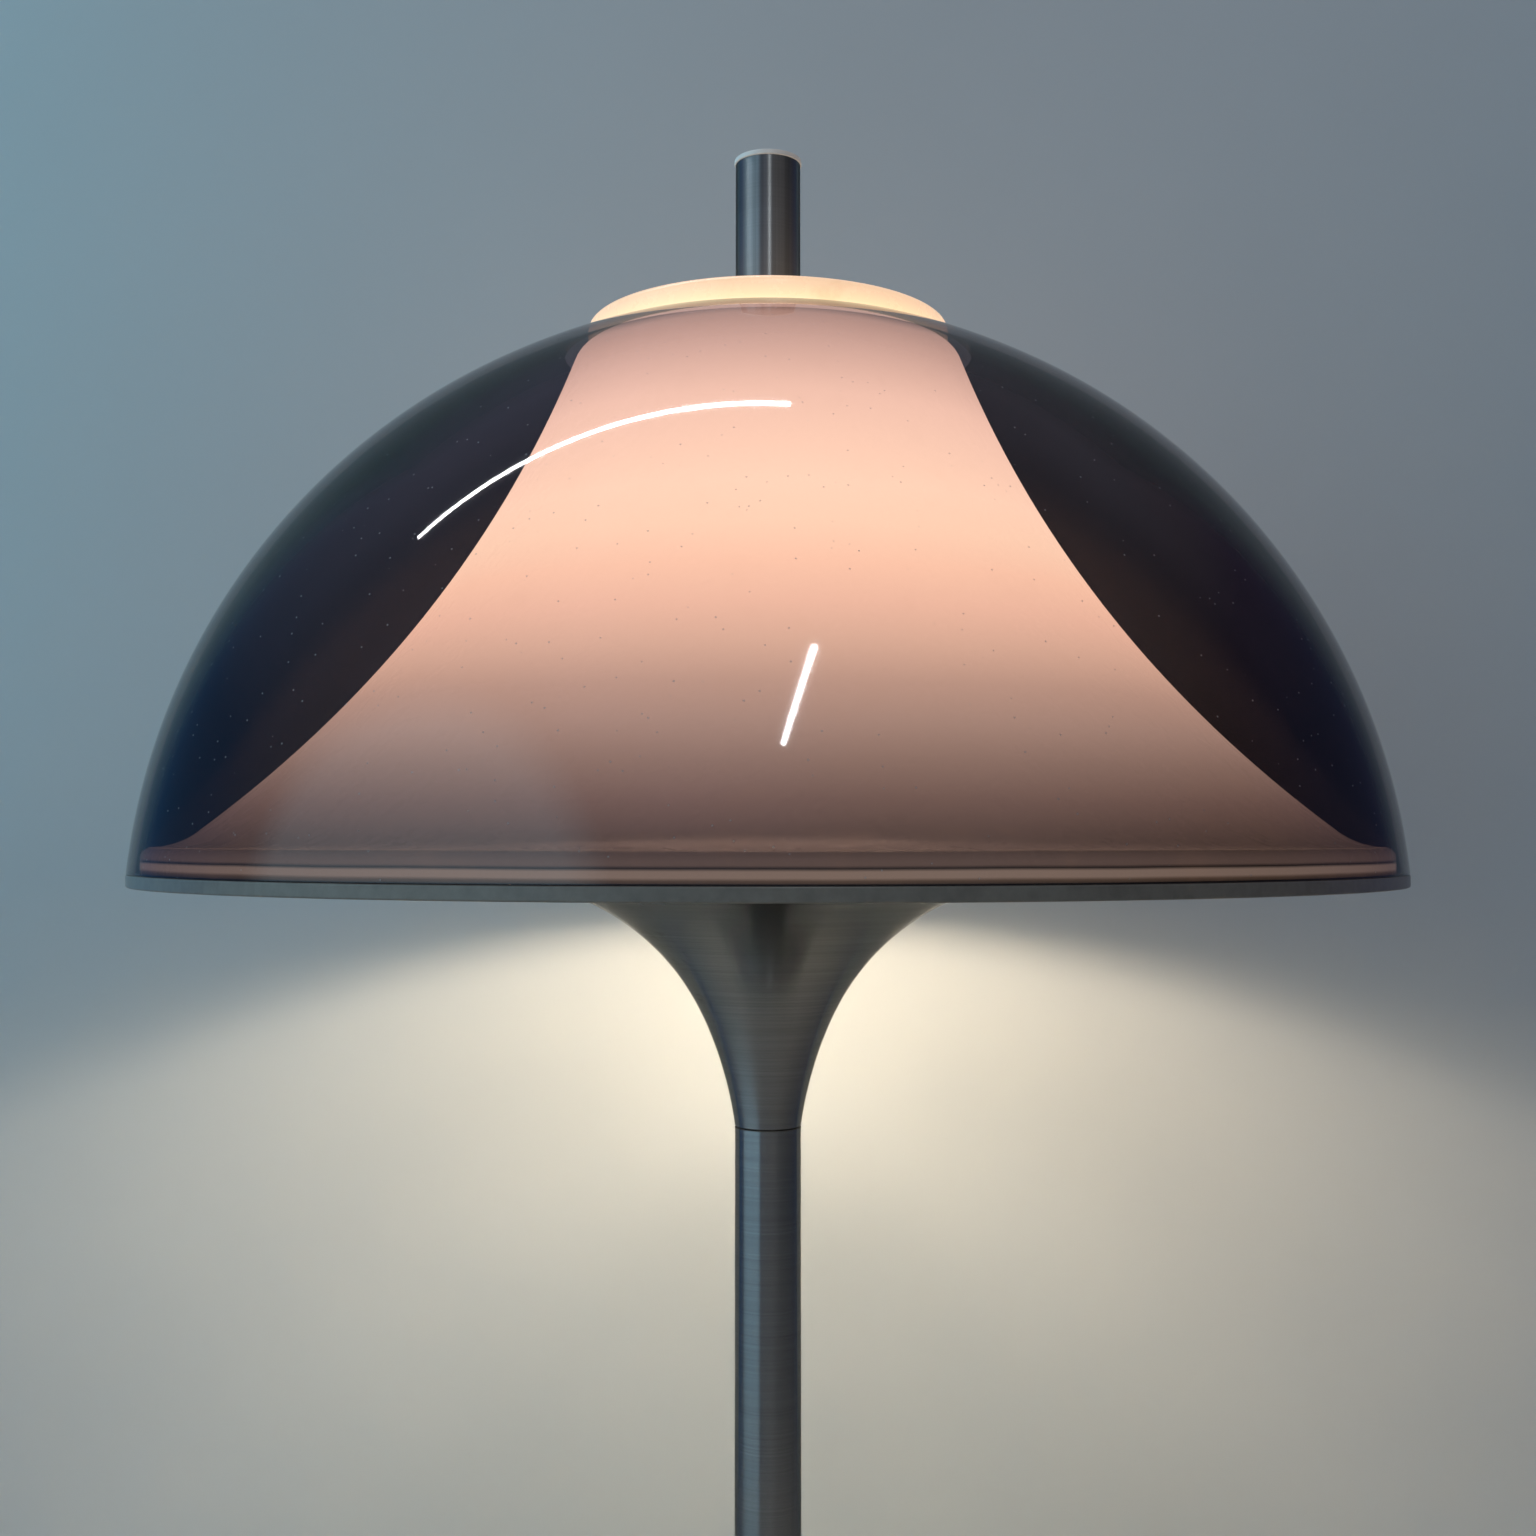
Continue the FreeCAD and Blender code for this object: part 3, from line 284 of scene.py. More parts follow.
@dataclass(frozen=True)
class BrushedAluminium(Finish):
    """Aluminium brushed round the lamp's axis, a little tarnished."""

    tone: Colour = (0.250, 0.262, 0.262)
    lean: Lean = Lean.STRAIGHT
    sheen: Range = (0.19, 0.24)
    fine_lines: float = 1500.0
    broad_lines: float = 260.0
    fine_share: float = 0.65
    relief: float = 0.02
    line_depth: float = 0.0002
    contrast: Range = (0.84, 1.12)
    streak: float = 0.95
    slant_tint: Colour = (0.35, 0.35, 0.35)
    stain_tint: Colour = (0.74, 0.72, 0.68)
    stain_share: float = 0.35
    # Upright darker streaks in the colour: painted reflection.
    painted_reflection_bands: float = 0.0
    scuffs: float = 0.0
    mark_shade: float = 0.4

    def marks(self, graph: Graph) -> Socket:
        """Write upright streaks, painted as reflections, and a few wandering scuffs.

        Args:
            graph: the tree to write them in.

        Returns:
            How much of them shows.
        """
        place = graph.place()
        # The upright streaks are painted reflection; the scuffs are wear.
        upright = graph.stretched(place, (1.0, 1.0, 0.004))
        painted_band = graph.noise(upright, scale=420.0, detail=2.0, roughness=0.6)
        wander = graph.noise(place, scale=60.0, detail=3.0, roughness=0.6)
        off_line = graph.math("ABSOLUTE", graph.math("SUBTRACT", wander, 0.5))
        scuff = graph.remap(off_line, (0.0, 0.012), (self.scuffs, 0.0))
        spots = graph.remap(graph.noise(place, scale=22.0, detail=2.0), (0.56, 0.64))
        return graph.math("MULTIPLY_ADD", scuff, spots, graph.remap(painted_band, (0.42, 0.62), (0.0, self.painted_reflection_bands)))

    def write(self, graph: Graph) -> None:
        """Write brushing lines, blurred highlights across them, and tarnish.

        Args:
            graph: the tree to write them in.
        """
        rings = graph.grooves(self.lean)
        fine, broad = (
            graph.noise(graph.stretched(rings, (around, around, along)), 1.0, detail, roughness=0.6)
            for around, along, detail in ((10.0, self.fine_lines, 2.0), (4.0, self.broad_lines, 3.0))
        )
        lines = graph.weighed(fine, broad, self.fine_share)
        tarnish = graph.noise(graph.place(), scale=24.0, detail=4.0, roughness=0.55)
        dull, bright = (tuple(share * part for part in self.tone) for share in self.contrast)
        metal = graph.ramp(lines, ((0.36, dull), (0.64, bright)))
        stain = tuple(part * tint for part, tint in zip(self.tone, self.stain_tint))
        stained = graph.blend(graph.remap(tarnish, (0.52, 0.75), (0.0, self.stain_share)), metal, stain)
        mark = tuple(self.mark_shade * part for part in self.tone)
        tangent = graph.node("ShaderNodeTangent", direction_type="RADIAL", axis="Z")
        graph.surface(graph.principled({
            "Base Color": graph.blend(self.marks(graph), stained, mark),
            "Metallic": 1.0,
            "Roughness": graph.remap(tarnish, (0.3, 0.75), self.sheen),
            "Specular Tint": self.slant_tint,
            "Anisotropic": self.streak,
            "Anisotropic Rotation": 0.25,
            "Tangent": tangent.outputs[0],
            "Normal": graph.bump(lines, self.relief, self.line_depth),
        }))


@dataclass(frozen=True)
class SmokedAcrylic(Finish):
    """One skin of a clear brown-black acrylic sheet."""

    straight: Colour = (0.450, 0.394, 0.412)
    slanting: Colour = (0.340, 0.284, 0.302)
    grazing: Colour = (0.070, 0.055, 0.060)
    tint_power: float = 1.6
    clouding: float = 0.06
    shine: float = 0.035
    shine_blur: float = 0.06

    def facing(self, graph: Graph) -> Socket:
        """Return how far the surface turns away from the eye, 0 to 1."""
        return graph.node("ShaderNodeLayerWeight", {"Blend": 0.5}).outputs["Facing"]

    def gloss(self, graph: Graph, blur: Union[float, Socket]) -> Socket:
        """Return a shader that only mirrors, blurred by that much."""
        return graph.principled({"Base Color": WHITE, "Metallic": 1.0, "Roughness": blur})

    def tint(self, graph: Graph) -> Socket:
        """Write the clear tint, which deepens where the sheet is seen at a slant.

        Args:
            graph: the tree to write it in.

        Returns:
            The tint's shader.
        """
        smoke = graph.noise(graph.place(), scale=6.0, detail=3.0)
        slant = graph.math("POWER", self.facing(graph), self.tint_power)
        share = graph.swayed(slant, smoke, self.clouding)
        stops = ((0.0, self.straight), (0.8, self.slanting), (1.0, self.grazing))
        return graph.clear(graph.ramp(share, stops))

    def write(self, graph: Graph) -> None:
        """Write the tint, with a soft shine where the skin is seen from inside the dome.

        Args:
            graph: the tree to write them in.
        """
        outside = graph.node("ShaderNodeNewGeometry").outputs["Backfacing"]
        share = graph.math("MULTIPLY_ADD", outside, -self.shine, self.shine)
        graph.surface(graph.mixed(share, self.tint(graph), self.gloss(graph, self.shine_blur)))


@dataclass(frozen=True)
class PolishedAcrylic(SmokedAcrylic):
    """The sheet's outer skin, polished, with a little dust on it."""

    mirror: Range = (0.045, 0.93)
    mirror_power: float = 8.5
    mirror_blur: Range = (0.03, 0.06)
    dust: Colour = (0.46, 0.45, 0.44)
    haze: float = 0.012
    fleck_share: float = 0.5

    def write(self, graph: Graph) -> None:
        """Write the tint, the polish that mirrors most at a slant, and the dust.

        Args:
            graph: the tree to write them in.
        """
        smear = graph.noise(graph.place(), scale=9.0, detail=5.0, roughness=0.6)
        gloss = self.gloss(graph, graph.remap(smear, (0.35, 0.7), self.mirror_blur))
        slant = graph.math("POWER", self.facing(graph), self.mirror_power)
        mirror = graph.math("MULTIPLY_ADD", slant, self.mirror[1], self.mirror[0])
        sheet = graph.mixed(mirror, self.tint(graph), gloss)
        film = graph.noise(graph.place(), scale=14.0, detail=6.0, roughness=0.65)
        haze = graph.remap(film, (0.5, 0.8), (0.0, self.haze))
        flecks = graph.flecks(scale=260.0, size=0.10, rarity=0.35)
        share = graph.math("MULTIPLY_ADD", flecks, self.fleck_share, haze)
        dusty = graph.principled({"Base Color": self.dust, "Roughness": 0.9, "Specular IOR Level": 0.1})
        graph.surface(graph.mixed(share, sheet, dusty))


@dataclass(frozen=True)
class GlowingOpal(Finish):
    """Opal acrylic lit from behind, brighter or dimmer by its height."""

    low: float = 0.0
    high: float = 1.0
    strength: float = 1.0
    stops: Stops = ((0.0, (1.0, 0.8, 0.6)), (1.0, (1.0, 0.8, 0.6)))
    body: Colour = (0.74, 0.70, 0.62)
    clouding: float = 0.004
    cloud_relief: float = 0.04
    cloud_depth: float = 0.0004
    grime: Colour = (0.30, 0.20, 0.10)
    grime_share: float = 0.05
    gloss: Range = (0.22, 0.34)

    def write(self, graph: Graph) -> None:
        """Write the glow by height, faint clouding, and a thin film of grime.

        Args:
            graph: the tree to write them in.
        """
        place = graph.place()
        cloud = graph.noise(place, scale=11.0)
        level = graph.remap(graph.axes(place)[2], (self.low, self.high))
        glow = graph.ramp(graph.swayed(level, cloud, self.clouding), self.stops)
        film = graph.noise(place, scale=55.0, detail=6.0, roughness=0.66)
        share = graph.remap(film, (0.55, 0.78), (0.0, self.grime_share))
        graph.surface(graph.principled({
            "Base Color": graph.blend(share, self.body, self.grime),
            "Roughness": graph.remap(film, (0.3, 0.7), self.gloss),
            "Normal": graph.bump(cloud, self.cloud_relief, self.cloud_depth),
            "Emission Color": graph.blend(share, glow, self.grime),
            "Emission Strength": self.strength,
        }))


@dataclass(frozen=True)
class Grained(Finish):
    """A cast, moulded, plated or painted finish: two tones in a fine grain, with its own relief."""

    tone: Colour = (0.5, 0.5, 0.5)
    second_tone: Colour = (0.4, 0.4, 0.4)
    metallic: float = 0.0
    sheen: Range = (0.35, 0.5)
    grain: float = 220.0
    grain_share: float = 0.65
    stretch: Place = (1.0, 1.0, 1.0)
    relief: float = 0.08
    depth: float = 0.0002
    coat: float = 0.0

    def write(self, graph: Graph) -> None:
        """Write the grain, its relief and the change of gloss over broad patches.

        Args:
            graph: the tree to write them in.
        """
        place = graph.place()
        grain = graph.noise(graph.stretched(place, self.stretch), self.grain, detail=5.0, roughness=0.6)
        patches = graph.noise(place, scale=30.0)
        both = graph.weighed(grain, patches, self.grain_share)
        graph.surface(graph.principled({
            "Base Color": graph.ramp(both, ((0.36, self.second_tone), (0.62, self.tone))),
            "Metallic": self.metallic,
            "Roughness": graph.remap(patches, (0.3, 0.7), self.sheen),
            "Normal": graph.bump(grain, self.relief, self.depth),
            "Coat Weight": self.coat,
            "Coat Roughness": 0.12,
        }))


@dataclass(frozen=True)
class WoolFelt(Finish):
    """Pressed felt: matted short fibres."""

    tone: Colour = (0.030, 0.045, 0.036)
    fibre: Colour = (0.075, 0.095, 0.080)
    fibre_scale: float = 420.0
    fibre_relief: float = 0.5
    fibre_depth: float = 0.0005

    def write(self, graph: Graph) -> None:
        """Write crossing fibres in two directions and their soft sheen.

        Args:
            graph: the tree to write them in.
        """
        place = graph.place()
        one_way, other_way = (
            graph.noise(graph.stretched(place, way), self.fibre_scale, detail=5.0, roughness=0.7)
            for way in ((1.0, 7.0, 1.0), (7.0, 1.0, 1.0))
        )
        matted = graph.math("MAXIMUM", one_way, other_way)
        graph.surface(graph.principled({
            "Base Color": graph.ramp(matted, ((0.45, self.tone), (0.75, self.fibre))),
            "Roughness": 0.95,
            "Sheen Weight": 0.35,
            "Sheen Roughness": 0.5,
            "Normal": graph.bump(matted, self.fibre_relief, self.fibre_depth),
        }))


@dataclass(frozen=True)
class StudioPaint(Finish):
    """Matt paint of the floor and the backdrop, seen through from behind and fading out at its borders.

    The eye sees the paint end over one range of distances from the lamp's foot. Over another range, a part
    of it is lost to the light that the lamp mirrors and takes up.
    """

    tone: Colour = (0.55, 0.55, 0.54)
    reach: Point = (BEYOND, BEYOND)
    fade: float = 0.72
    shown: Range = (BEYOND, BEYOND + 1.0)
    mirrored: Range = (BEYOND, BEYOND + 1.0)
    mirrored_loss: float = 0.45
    mottle_shade: float = 0.95

    def write(self, graph: Graph) -> None:
        """Write a faint mottle, fading to nothing at the borders, and nothing at all on the back.

        Args:
            graph: the tree to write them in.
        """
        place = graph.place()
        mottle = graph.noise(place, scale=3.0, detail=5.0)
        darker = tuple(self.mottle_shade * part for part in self.tone)
        paint = graph.principled({
            "Base Color": graph.ramp(mottle, ((0.3, darker), (0.7, self.tone))),
            "Roughness": 0.9,
            "Specular IOR Level": 0.2,
        })
        x, _y, z = graph.axes(place)
        bare = graph.node("ShaderNodeNewGeometry").outputs["Backfacing"]
        for way, end in zip((graph.math("ABSOLUTE", x), z), self.reach):
            bare = graph.math("MAXIMUM", bare, graph.remap(way, (self.fade * end, end)))
        distance = graph.measure("LENGTH", place)
        seen = graph.node("ShaderNodeLightPath").outputs["Is Camera Ray"]
        unseen = graph.math("MULTIPLY", seen, graph.remap(distance, self.shown))
        lost = graph.remap(distance, self.mirrored, (0.0, self.mirrored_loss))
        unseen = graph.math("MULTIPLY_ADD", graph.math("SUBTRACT", 1.0, seen), lost, unseen)
        graph.surface(graph.mixed(graph.math("MAXIMUM", bare, unseen), paint, graph.clear()))


# The stem's and the finial's upright streaks are painted reflection.
STEM_METAL = BrushedAluminium("brushed_stem", painted_reflection_bands=0.15)
HEAD_METAL = BrushedAluminium("brushed_head", lean=Lean.OPENS_UP, sheen=(0.22, 0.28), scuffs=0.7)
FOOT_METAL = BrushedAluminium("brushed_foot", lean=Lean.OPENS_DOWN)
FINIAL_METAL = BrushedAluminium(
    "brushed_finial", tone=(0.300, 0.322, 0.330), sheen=(0.36, 0.42),
    contrast=(0.95, 1.05), streak=1.0, painted_reflection_bands=0.35,
)
# The bushes' metal is painted dark: painted shade for the seam between the stem and the trumpet, where the
# upper bush shows through.
BUSH_METAL_DARKENED_AS_SHADE = Grained(
    "turned_bush_darkened_as_shade", tone=(0.20, 0.20, 0.195), second_tone=(0.13, 0.13, 0.127), metallic=1.0,
    sheen=(0.24, 0.36), grain=1.0, stretch=(20.0, 20.0, 2600.0), relief=0.2,
)
PLATED_STEEL = Grained(
    "plated_steel", tone=(0.62, 0.62, 0.58), second_tone=(0.44, 0.45, 0.43), metallic=1.0,
    sheen=(0.28, 0.44), grain=420.0, relief=0.10,
)
TURNED_BRASS = Grained(
    "turned_brass", tone=(0.78, 0.57, 0.26), second_tone=(0.58, 0.40, 0.16), metallic=1.0,
    sheen=(0.22, 0.38), grain=380.0, relief=0.08,
)
NICKEL_PLATE = Grained(
    "nickel_plate", tone=(0.70, 0.66, 0.58), second_tone=(0.52, 0.49, 0.43), metallic=1.0,
    sheen=(0.20, 0.34), grain=300.0, relief=0.06,
)
CAST_IRON = Grained(
    "sand_cast_iron", tone=(0.105, 0.10, 0.095), second_tone=(0.045, 0.043, 0.042), metallic=0.6,
    sheen=(0.55, 0.75), grain=260.0, relief=0.7, depth=0.0006,
)
WHITE_ENAMEL = Grained(
    "white_enamel", tone=(0.80, 0.79, 0.75), second_tone=(0.70, 0.69, 0.64),
    sheen=(0.25, 0.38), grain=160.0, relief=0.06, coat=0.3,
)
# The cap's faint glow is painted light: light from above, scattered in the milky plastic.
MILKY_CAP_PAINTED_GLOW = GlowingOpal(
    "milky_cap_painted_glow", strength=0.12, stops=((0.0, (0.80, 0.80, 0.74)), (1.0, (0.86, 0.86, 0.80))),
    body=(0.66, 0.65, 0.61), grime=(0.34, 0.29, 0.22), grime_share=0.25, gloss=(0.30, 0.45),
)
PHENOLIC = Grained(
    "phenolic_moulding", tone=(0.055, 0.034, 0.024), second_tone=(0.026, 0.017, 0.013),
    sheen=(0.22, 0.36), grain=130.0, relief=0.05, coat=0.2,
)
NYLON = Grained(
    "natural_nylon", tone=(0.72, 0.69, 0.60), second_tone=(0.60, 0.57, 0.49),
    sheen=(0.38, 0.52), grain=340.0, relief=0.06,
)
FLEX_SLEEVE = Grained(
    "flex_sleeve", tone=(0.66, 0.64, 0.60), second_tone=(0.54, 0.52, 0.48),
    sheen=(0.42, 0.58), grain=520.0, relief=0.08,
)
RUBBER = Grained(
    "black_rubber", tone=(0.034, 0.034, 0.035), second_tone=(0.017, 0.017, 0.018),
    sheen=(0.55, 0.75), grain=640.0, relief=0.25,
)
# Near-black paint in the stem's top groove: a painted shadow for the seam with the trumpet.
SEAM_PAINTED_SHADOW = Grained(
    "seam_painted_shadow", tone=(0.010, 0.010, 0.010), second_tone=(0.006, 0.006, 0.006),
    sheen=(0.6, 0.8), grain=400.0, relief=0.10,
)
FELT = WoolFelt("pressed_felt")
SMOKED_SHEET = PolishedAcrylic("smoked_sheet")
SMOKED_LINING = SmokedAcrylic("smoked_lining")
OPAL_RIM = Grained(
    "opal_rim", tone=(0.262, 0.226, 0.178), second_tone=(0.205, 0.175, 0.138),
    sheen=(0.28, 0.42), grain=240.0, relief=0.06,
)
SMOKED_EDGE = Grained(
    "smoked_cut_edge", tone=(0.020, 0.016, 0.016), second_tone=(0.010, 0.008, 0.008),
    sheen=(0.30, 0.45), grain=480.0, relief=0.10,
)


Ring = tuple[Point, Point, Finish]


@dataclass
class Outline:
    """Half-section of a turned piece: points of radius and height, up the outside and down the inside."""

    finish: Finish
    points: list[Point] = field(default_factory=list)
    finishes: list[Finish] = field(default_factory=list)

    def to(self, radius: float, height: float) -> "Outline":
        """Add one point.

        Args:
            radius: the point's distance from the axis.
            height: the point's height.

        Returns:
            The outline itself.
        """
        self.points.append((radius, height))
        self.finishes.append(self.finish)
        return self

    def rounded(self, corner: Point, end: Point, steps: int = 8) -> "Outline":
        """Round a corner off, from the last point to another.

        Args:
            corner: the corner, which the curve bends towards.
            end: where the curve ends.
            steps: how many lines stand for it.

        Returns:
            The outline itself.
        """
        first, middle, last = Vector(self.points[-1]), Vector(corner), Vector(end)
        for step in range(1, steps + 1):
            share = step / steps
            spot = first.lerp(middle, share).lerp(middle.lerp(last, share), share)
            self.to(spot.x, spot.y)
        return self

    def arc(self, centre: Point, radius: float, start: float, end: float, steps: int) -> "Outline":
        """Add an arc.

        Args:
            centre: the arc's centre.
            radius: the arc's radius.
            start: the angle where it starts, in radians up from the outward direction.
            end: the angle where it ends.
            steps: how many lines stand for it.

        Returns:
            The outline itself.
        """
        for step in range(steps + 1):
            angle = start + (end - start) * step / steps
            self.to(centre[0] + radius * math.cos(angle), centre[1] + radius * math.sin(angle))
        return self

    def line(self, radius: float, height: float, steps: int) -> "Outline":
        """Add a straight run from the last point.

        Args:
            radius: the distance from the axis where it ends.
            height: the height where it ends.
            steps: how many lines stand for it.

        Returns:
            The outline itself.
        """
        first = self.points[-1]
        for step in range(1, steps + 1):
            share = step / steps
            self.to(first[0] + (radius - first[0]) * share, first[1] + (height - first[1]) * share)
        return self

    def eased(self, radius: float, height: float, ease: float) -> "Outline":
        """Round the upper outer edge of that radius and height, and return the outline itself."""
        return self.arc((radius - ease, height - ease), ease, EASE_START, UPRIGHT, steps=8)

    def paint(self, finish: Finish) -> "Outline":
        """Give what follows the last point another finish, and return the outline itself."""
        self.finish = self.finishes[-1] = finish
        return self

    def softened(self, edge: float) -> list[Ring]:
        """Round the sharp corners.

        Args:
            edge: how far a rounding reaches from its corner.

        Returns:
            For each point of the rounded outline, the point, its outward normal and its finish.
        """
        count = len(self.points)
        rounded: list[Ring] = []
        for index, (point, finish) in enumerate(zip(self.points, self.finishes)):
            here = Vector(point)
            back = here - Vector(self.points[index - 1])
            ahead = Vector(self.points[(index + 1) % count]) - here
            if here.x < ON_AXIS:
                rounded.append((point, (0.0, -1.0 if index == 0 else 1.0), finish))
                continue
            if back.angle(ahead) < CORNER_TURN:
                run = back.normalized() + ahead.normalized()
                run.normalize()
                rounded.append((point, (run.y, -run.x), finish))
                continue
            cut = min(edge, CORNER_SHARE * back.length, CORNER_SHARE * ahead.length)
            start = here - back.normalized() * cut
            end = here + ahead.normalized() * cut
            for step in range(CORNER_STEPS + 1):
                share = step / CORNER_STEPS
                spot = start.lerp(here, share).lerp(here.lerp(end, share), share)
                run = (here - start).lerp(end - here, share).normalized()
                rounded.append((tuple(spot), (run.y, -run.x), finish))
        return rounded


def placed(name: str, data: bpy.types.ID) -> bpy.types.Object:
    """Put a mesh, a lamp or a camera into the scene.

    Args:
        name: the new object's name.
        data: what it shows.

    Returns:
        The new object.
    """
    item = bpy.data.objects.new(name, data)
    bpy.context.scene.collection.objects.link(item)
    return item


def turned(
    name: str,
    outline: Outline,
    centre: Point = (0.0, 0.0),
    edge: float = EDGE_SOFTNESS,
    steps: int = TURN_STEPS,
    relief: Optional[Relief] = None,
) -> bpy.types.Object:
    """Turn an outline about an upright axis.

    Args:
        name: the piece's name.
        outline: its half-section.
        centre: where its axis stands.
        edge: how far the rounding of its corners reaches.
        steps: how many flats go round it.
        relief: what is added to the radius at a height and an angle, as for a thread.

    Returns:
        The new piece.
    """
    rings = outline.softened(edge)
    finishes = list(dict.fromkeys(outline.finishes))
    closed = rings[0][0][0] > ON_AXIS or rings[-1][0][0] > ON_AXIS
    points: list[Place] = []
    normals: list[Place] = []
    for (radius, height), (out, up), _finish in rings:
        for step in range(steps):
            angle = math.tau * step / steps
            reach = radius + (relief(height, angle) if relief and out > OUTER_WALL else 0.0)
            x, y = math.cos(angle), math.sin(angle)
            points.append((centre[0] + reach * x, centre[1] + reach * y, height))
            normals.append((out * x, out * y, up))
    faces: list[tuple[int, int, int, int]] = []
    paints: list[int] = []
    for ring in range(len(rings) if closed else len(rings) - 1):
        low = ring * steps
        high = (ring + 1) % len(rings) * steps
        paints += [finishes.index(rings[ring][2])] * steps
        for step in range(steps):
            after = (step + 1) % steps
            faces.append((low + step, low + after, high + after, high + step))
    mesh = bpy.data.meshes.new(name)
    mesh.from_pydata(points, [], faces)
    for finish in finishes:
        mesh.materials.append(finish.material())
    mesh.polygons.foreach_set("material_index", paints)
    mesh.shade_smooth()
    if relief is None:
        mesh.normals_split_custom_set_from_vertices(normals)
    return placed(name, mesh)


@dataclass
class Assembly:
    """What the lamp's sub-assemblies share: the frame's nodes, and how a piece joins them."""

    nodes: dict[str, bpy.types.Object]

    def dress(self, finish: Finish, *names: str) -> None:
        """Give a finish to nodes of the frame that are shown as they are.

        Args:
            finish: the finish.
            *names: the nodes.
        """
        for name in names:
            node = self.nodes[name]
            for holder in node.material_slots:
                holder.material = finish.material()
            LOG.info("%s keeps its frame shape, finished in %s", name, finish.name)

    def turn(
        self, name: str, outline: Outline, body: Body, slot: str, node: str, **shape: Any,
    ) -> bpy.types.Object:
        """Turn a piece, and let it ride on its body in the place of a node of the frame.

        Args:
            name: the piece's name.
            outline: its half-section.
            body: the body that carries it.
            slot: the record's material slot for it; not used.
            node: the node that it stands for.
            **shape: what else the function turned is told of it.

        Returns:
            The piece.
        """
        piece = turned(name, outline, **shape)
        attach(piece, body.value)
        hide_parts(node)
        LOG.info("%s built on %s with %d points", name, body.value, len(piece.data.vertices))
        return piece


@dataclass
class Flare:
    """A spun trumpet wall: a neck arc that runs on into a mouth arc."""

    neck_radius: float
    neck_height: float
    mouth_radius: float
    mouth_slope: float
    neck_slope: float = math.radians(8.1)
    neck_arc: float = 0.1464
    meeting_slope: float = math.radians(24.3)

    def mouth_arc(self) -> float:
        """Work out the radius of the mouth's arc, which makes the flare end at its mouth.

        Returns:
            The radius.
        """
        meeting_share = math.cos(self.meeting_slope)
        meeting = self.neck_radius + self.neck_arc * (math.cos(self.neck_slope) - meeting_share)
        return (self.mouth_radius - meeting) / (meeting_share - math.cos(self.mouth_slope))

    def skin(self, inset: float, steps: int = 26) -> list[Point]:
        """Follow one skin of the wall from the neck to the mouth.

        Args:
            inset: how far the skin lies inside the outer one.
            steps: how many lines stand for each arc.

        Returns:
            Points of radius and height.
        """
        points: list[Point] = []
        radius, height = self.neck_radius, self.neck_height
        for arc, first, last in (
            (self.neck_arc, self.neck_slope, self.meeting_slope),
            (self.mouth_arc(), self.meeting_slope, self.mouth_slope),
        ):
            for step in range(steps + 1):
                slope = first + (last - first) * step / steps
                out = radius + arc * (math.cos(first) - math.cos(slope))
                along = height + arc * (math.sin(slope) - math.sin(first))
                spot = (out - inset * math.cos(slope), along + inset * math.sin(slope))
                if step or not points:
                    points.append(spot)
            radius += arc * (math.cos(first) - math.cos(last))
            height += arc * (math.sin(last) - math.sin(first))
        return points


@dataclass
class Foot(Assembly):
    """The weighted trumpet foot, with what is under and inside it."""

    felt_edge: float = 0.0008
    felt_rows: int = 24

    def build(self) -> None:
        """Build the felt and finish the shell, the weight and the wiring."""
        self.felt()
        self.dress(FOOT_METAL, "foot_shell")
        self.dress(CAST_IRON, "ballast")
        self.dress(PLATED_STEEL, "base_plate", "base_plate_screws", "terminal_screws")
        self.dress(RUBBER, "cord_grommet")
        self.dress(NYLON, "base_terminal_block", "head_terminal_block")
        self.dress(TURNED_BRASS, "base_terminal_barrels", "head_terminal_barrels")

    def felt(self) -> None:
        """Build the felt disc with its soft cut edge."""
        low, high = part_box("felt_pad")
        radius = high[0]
        outline = Outline(FELT).to(0.0, low[2])
        outline.line(radius, low[2], self.felt_rows).line(radius, high[2], steps=4)
        outline.line(0.0, high[2], self.felt_rows)
        piece = self.turn("felt_disc", outline, Body.ROOT, "felt", "felt_pad", edge=self.felt_edge)


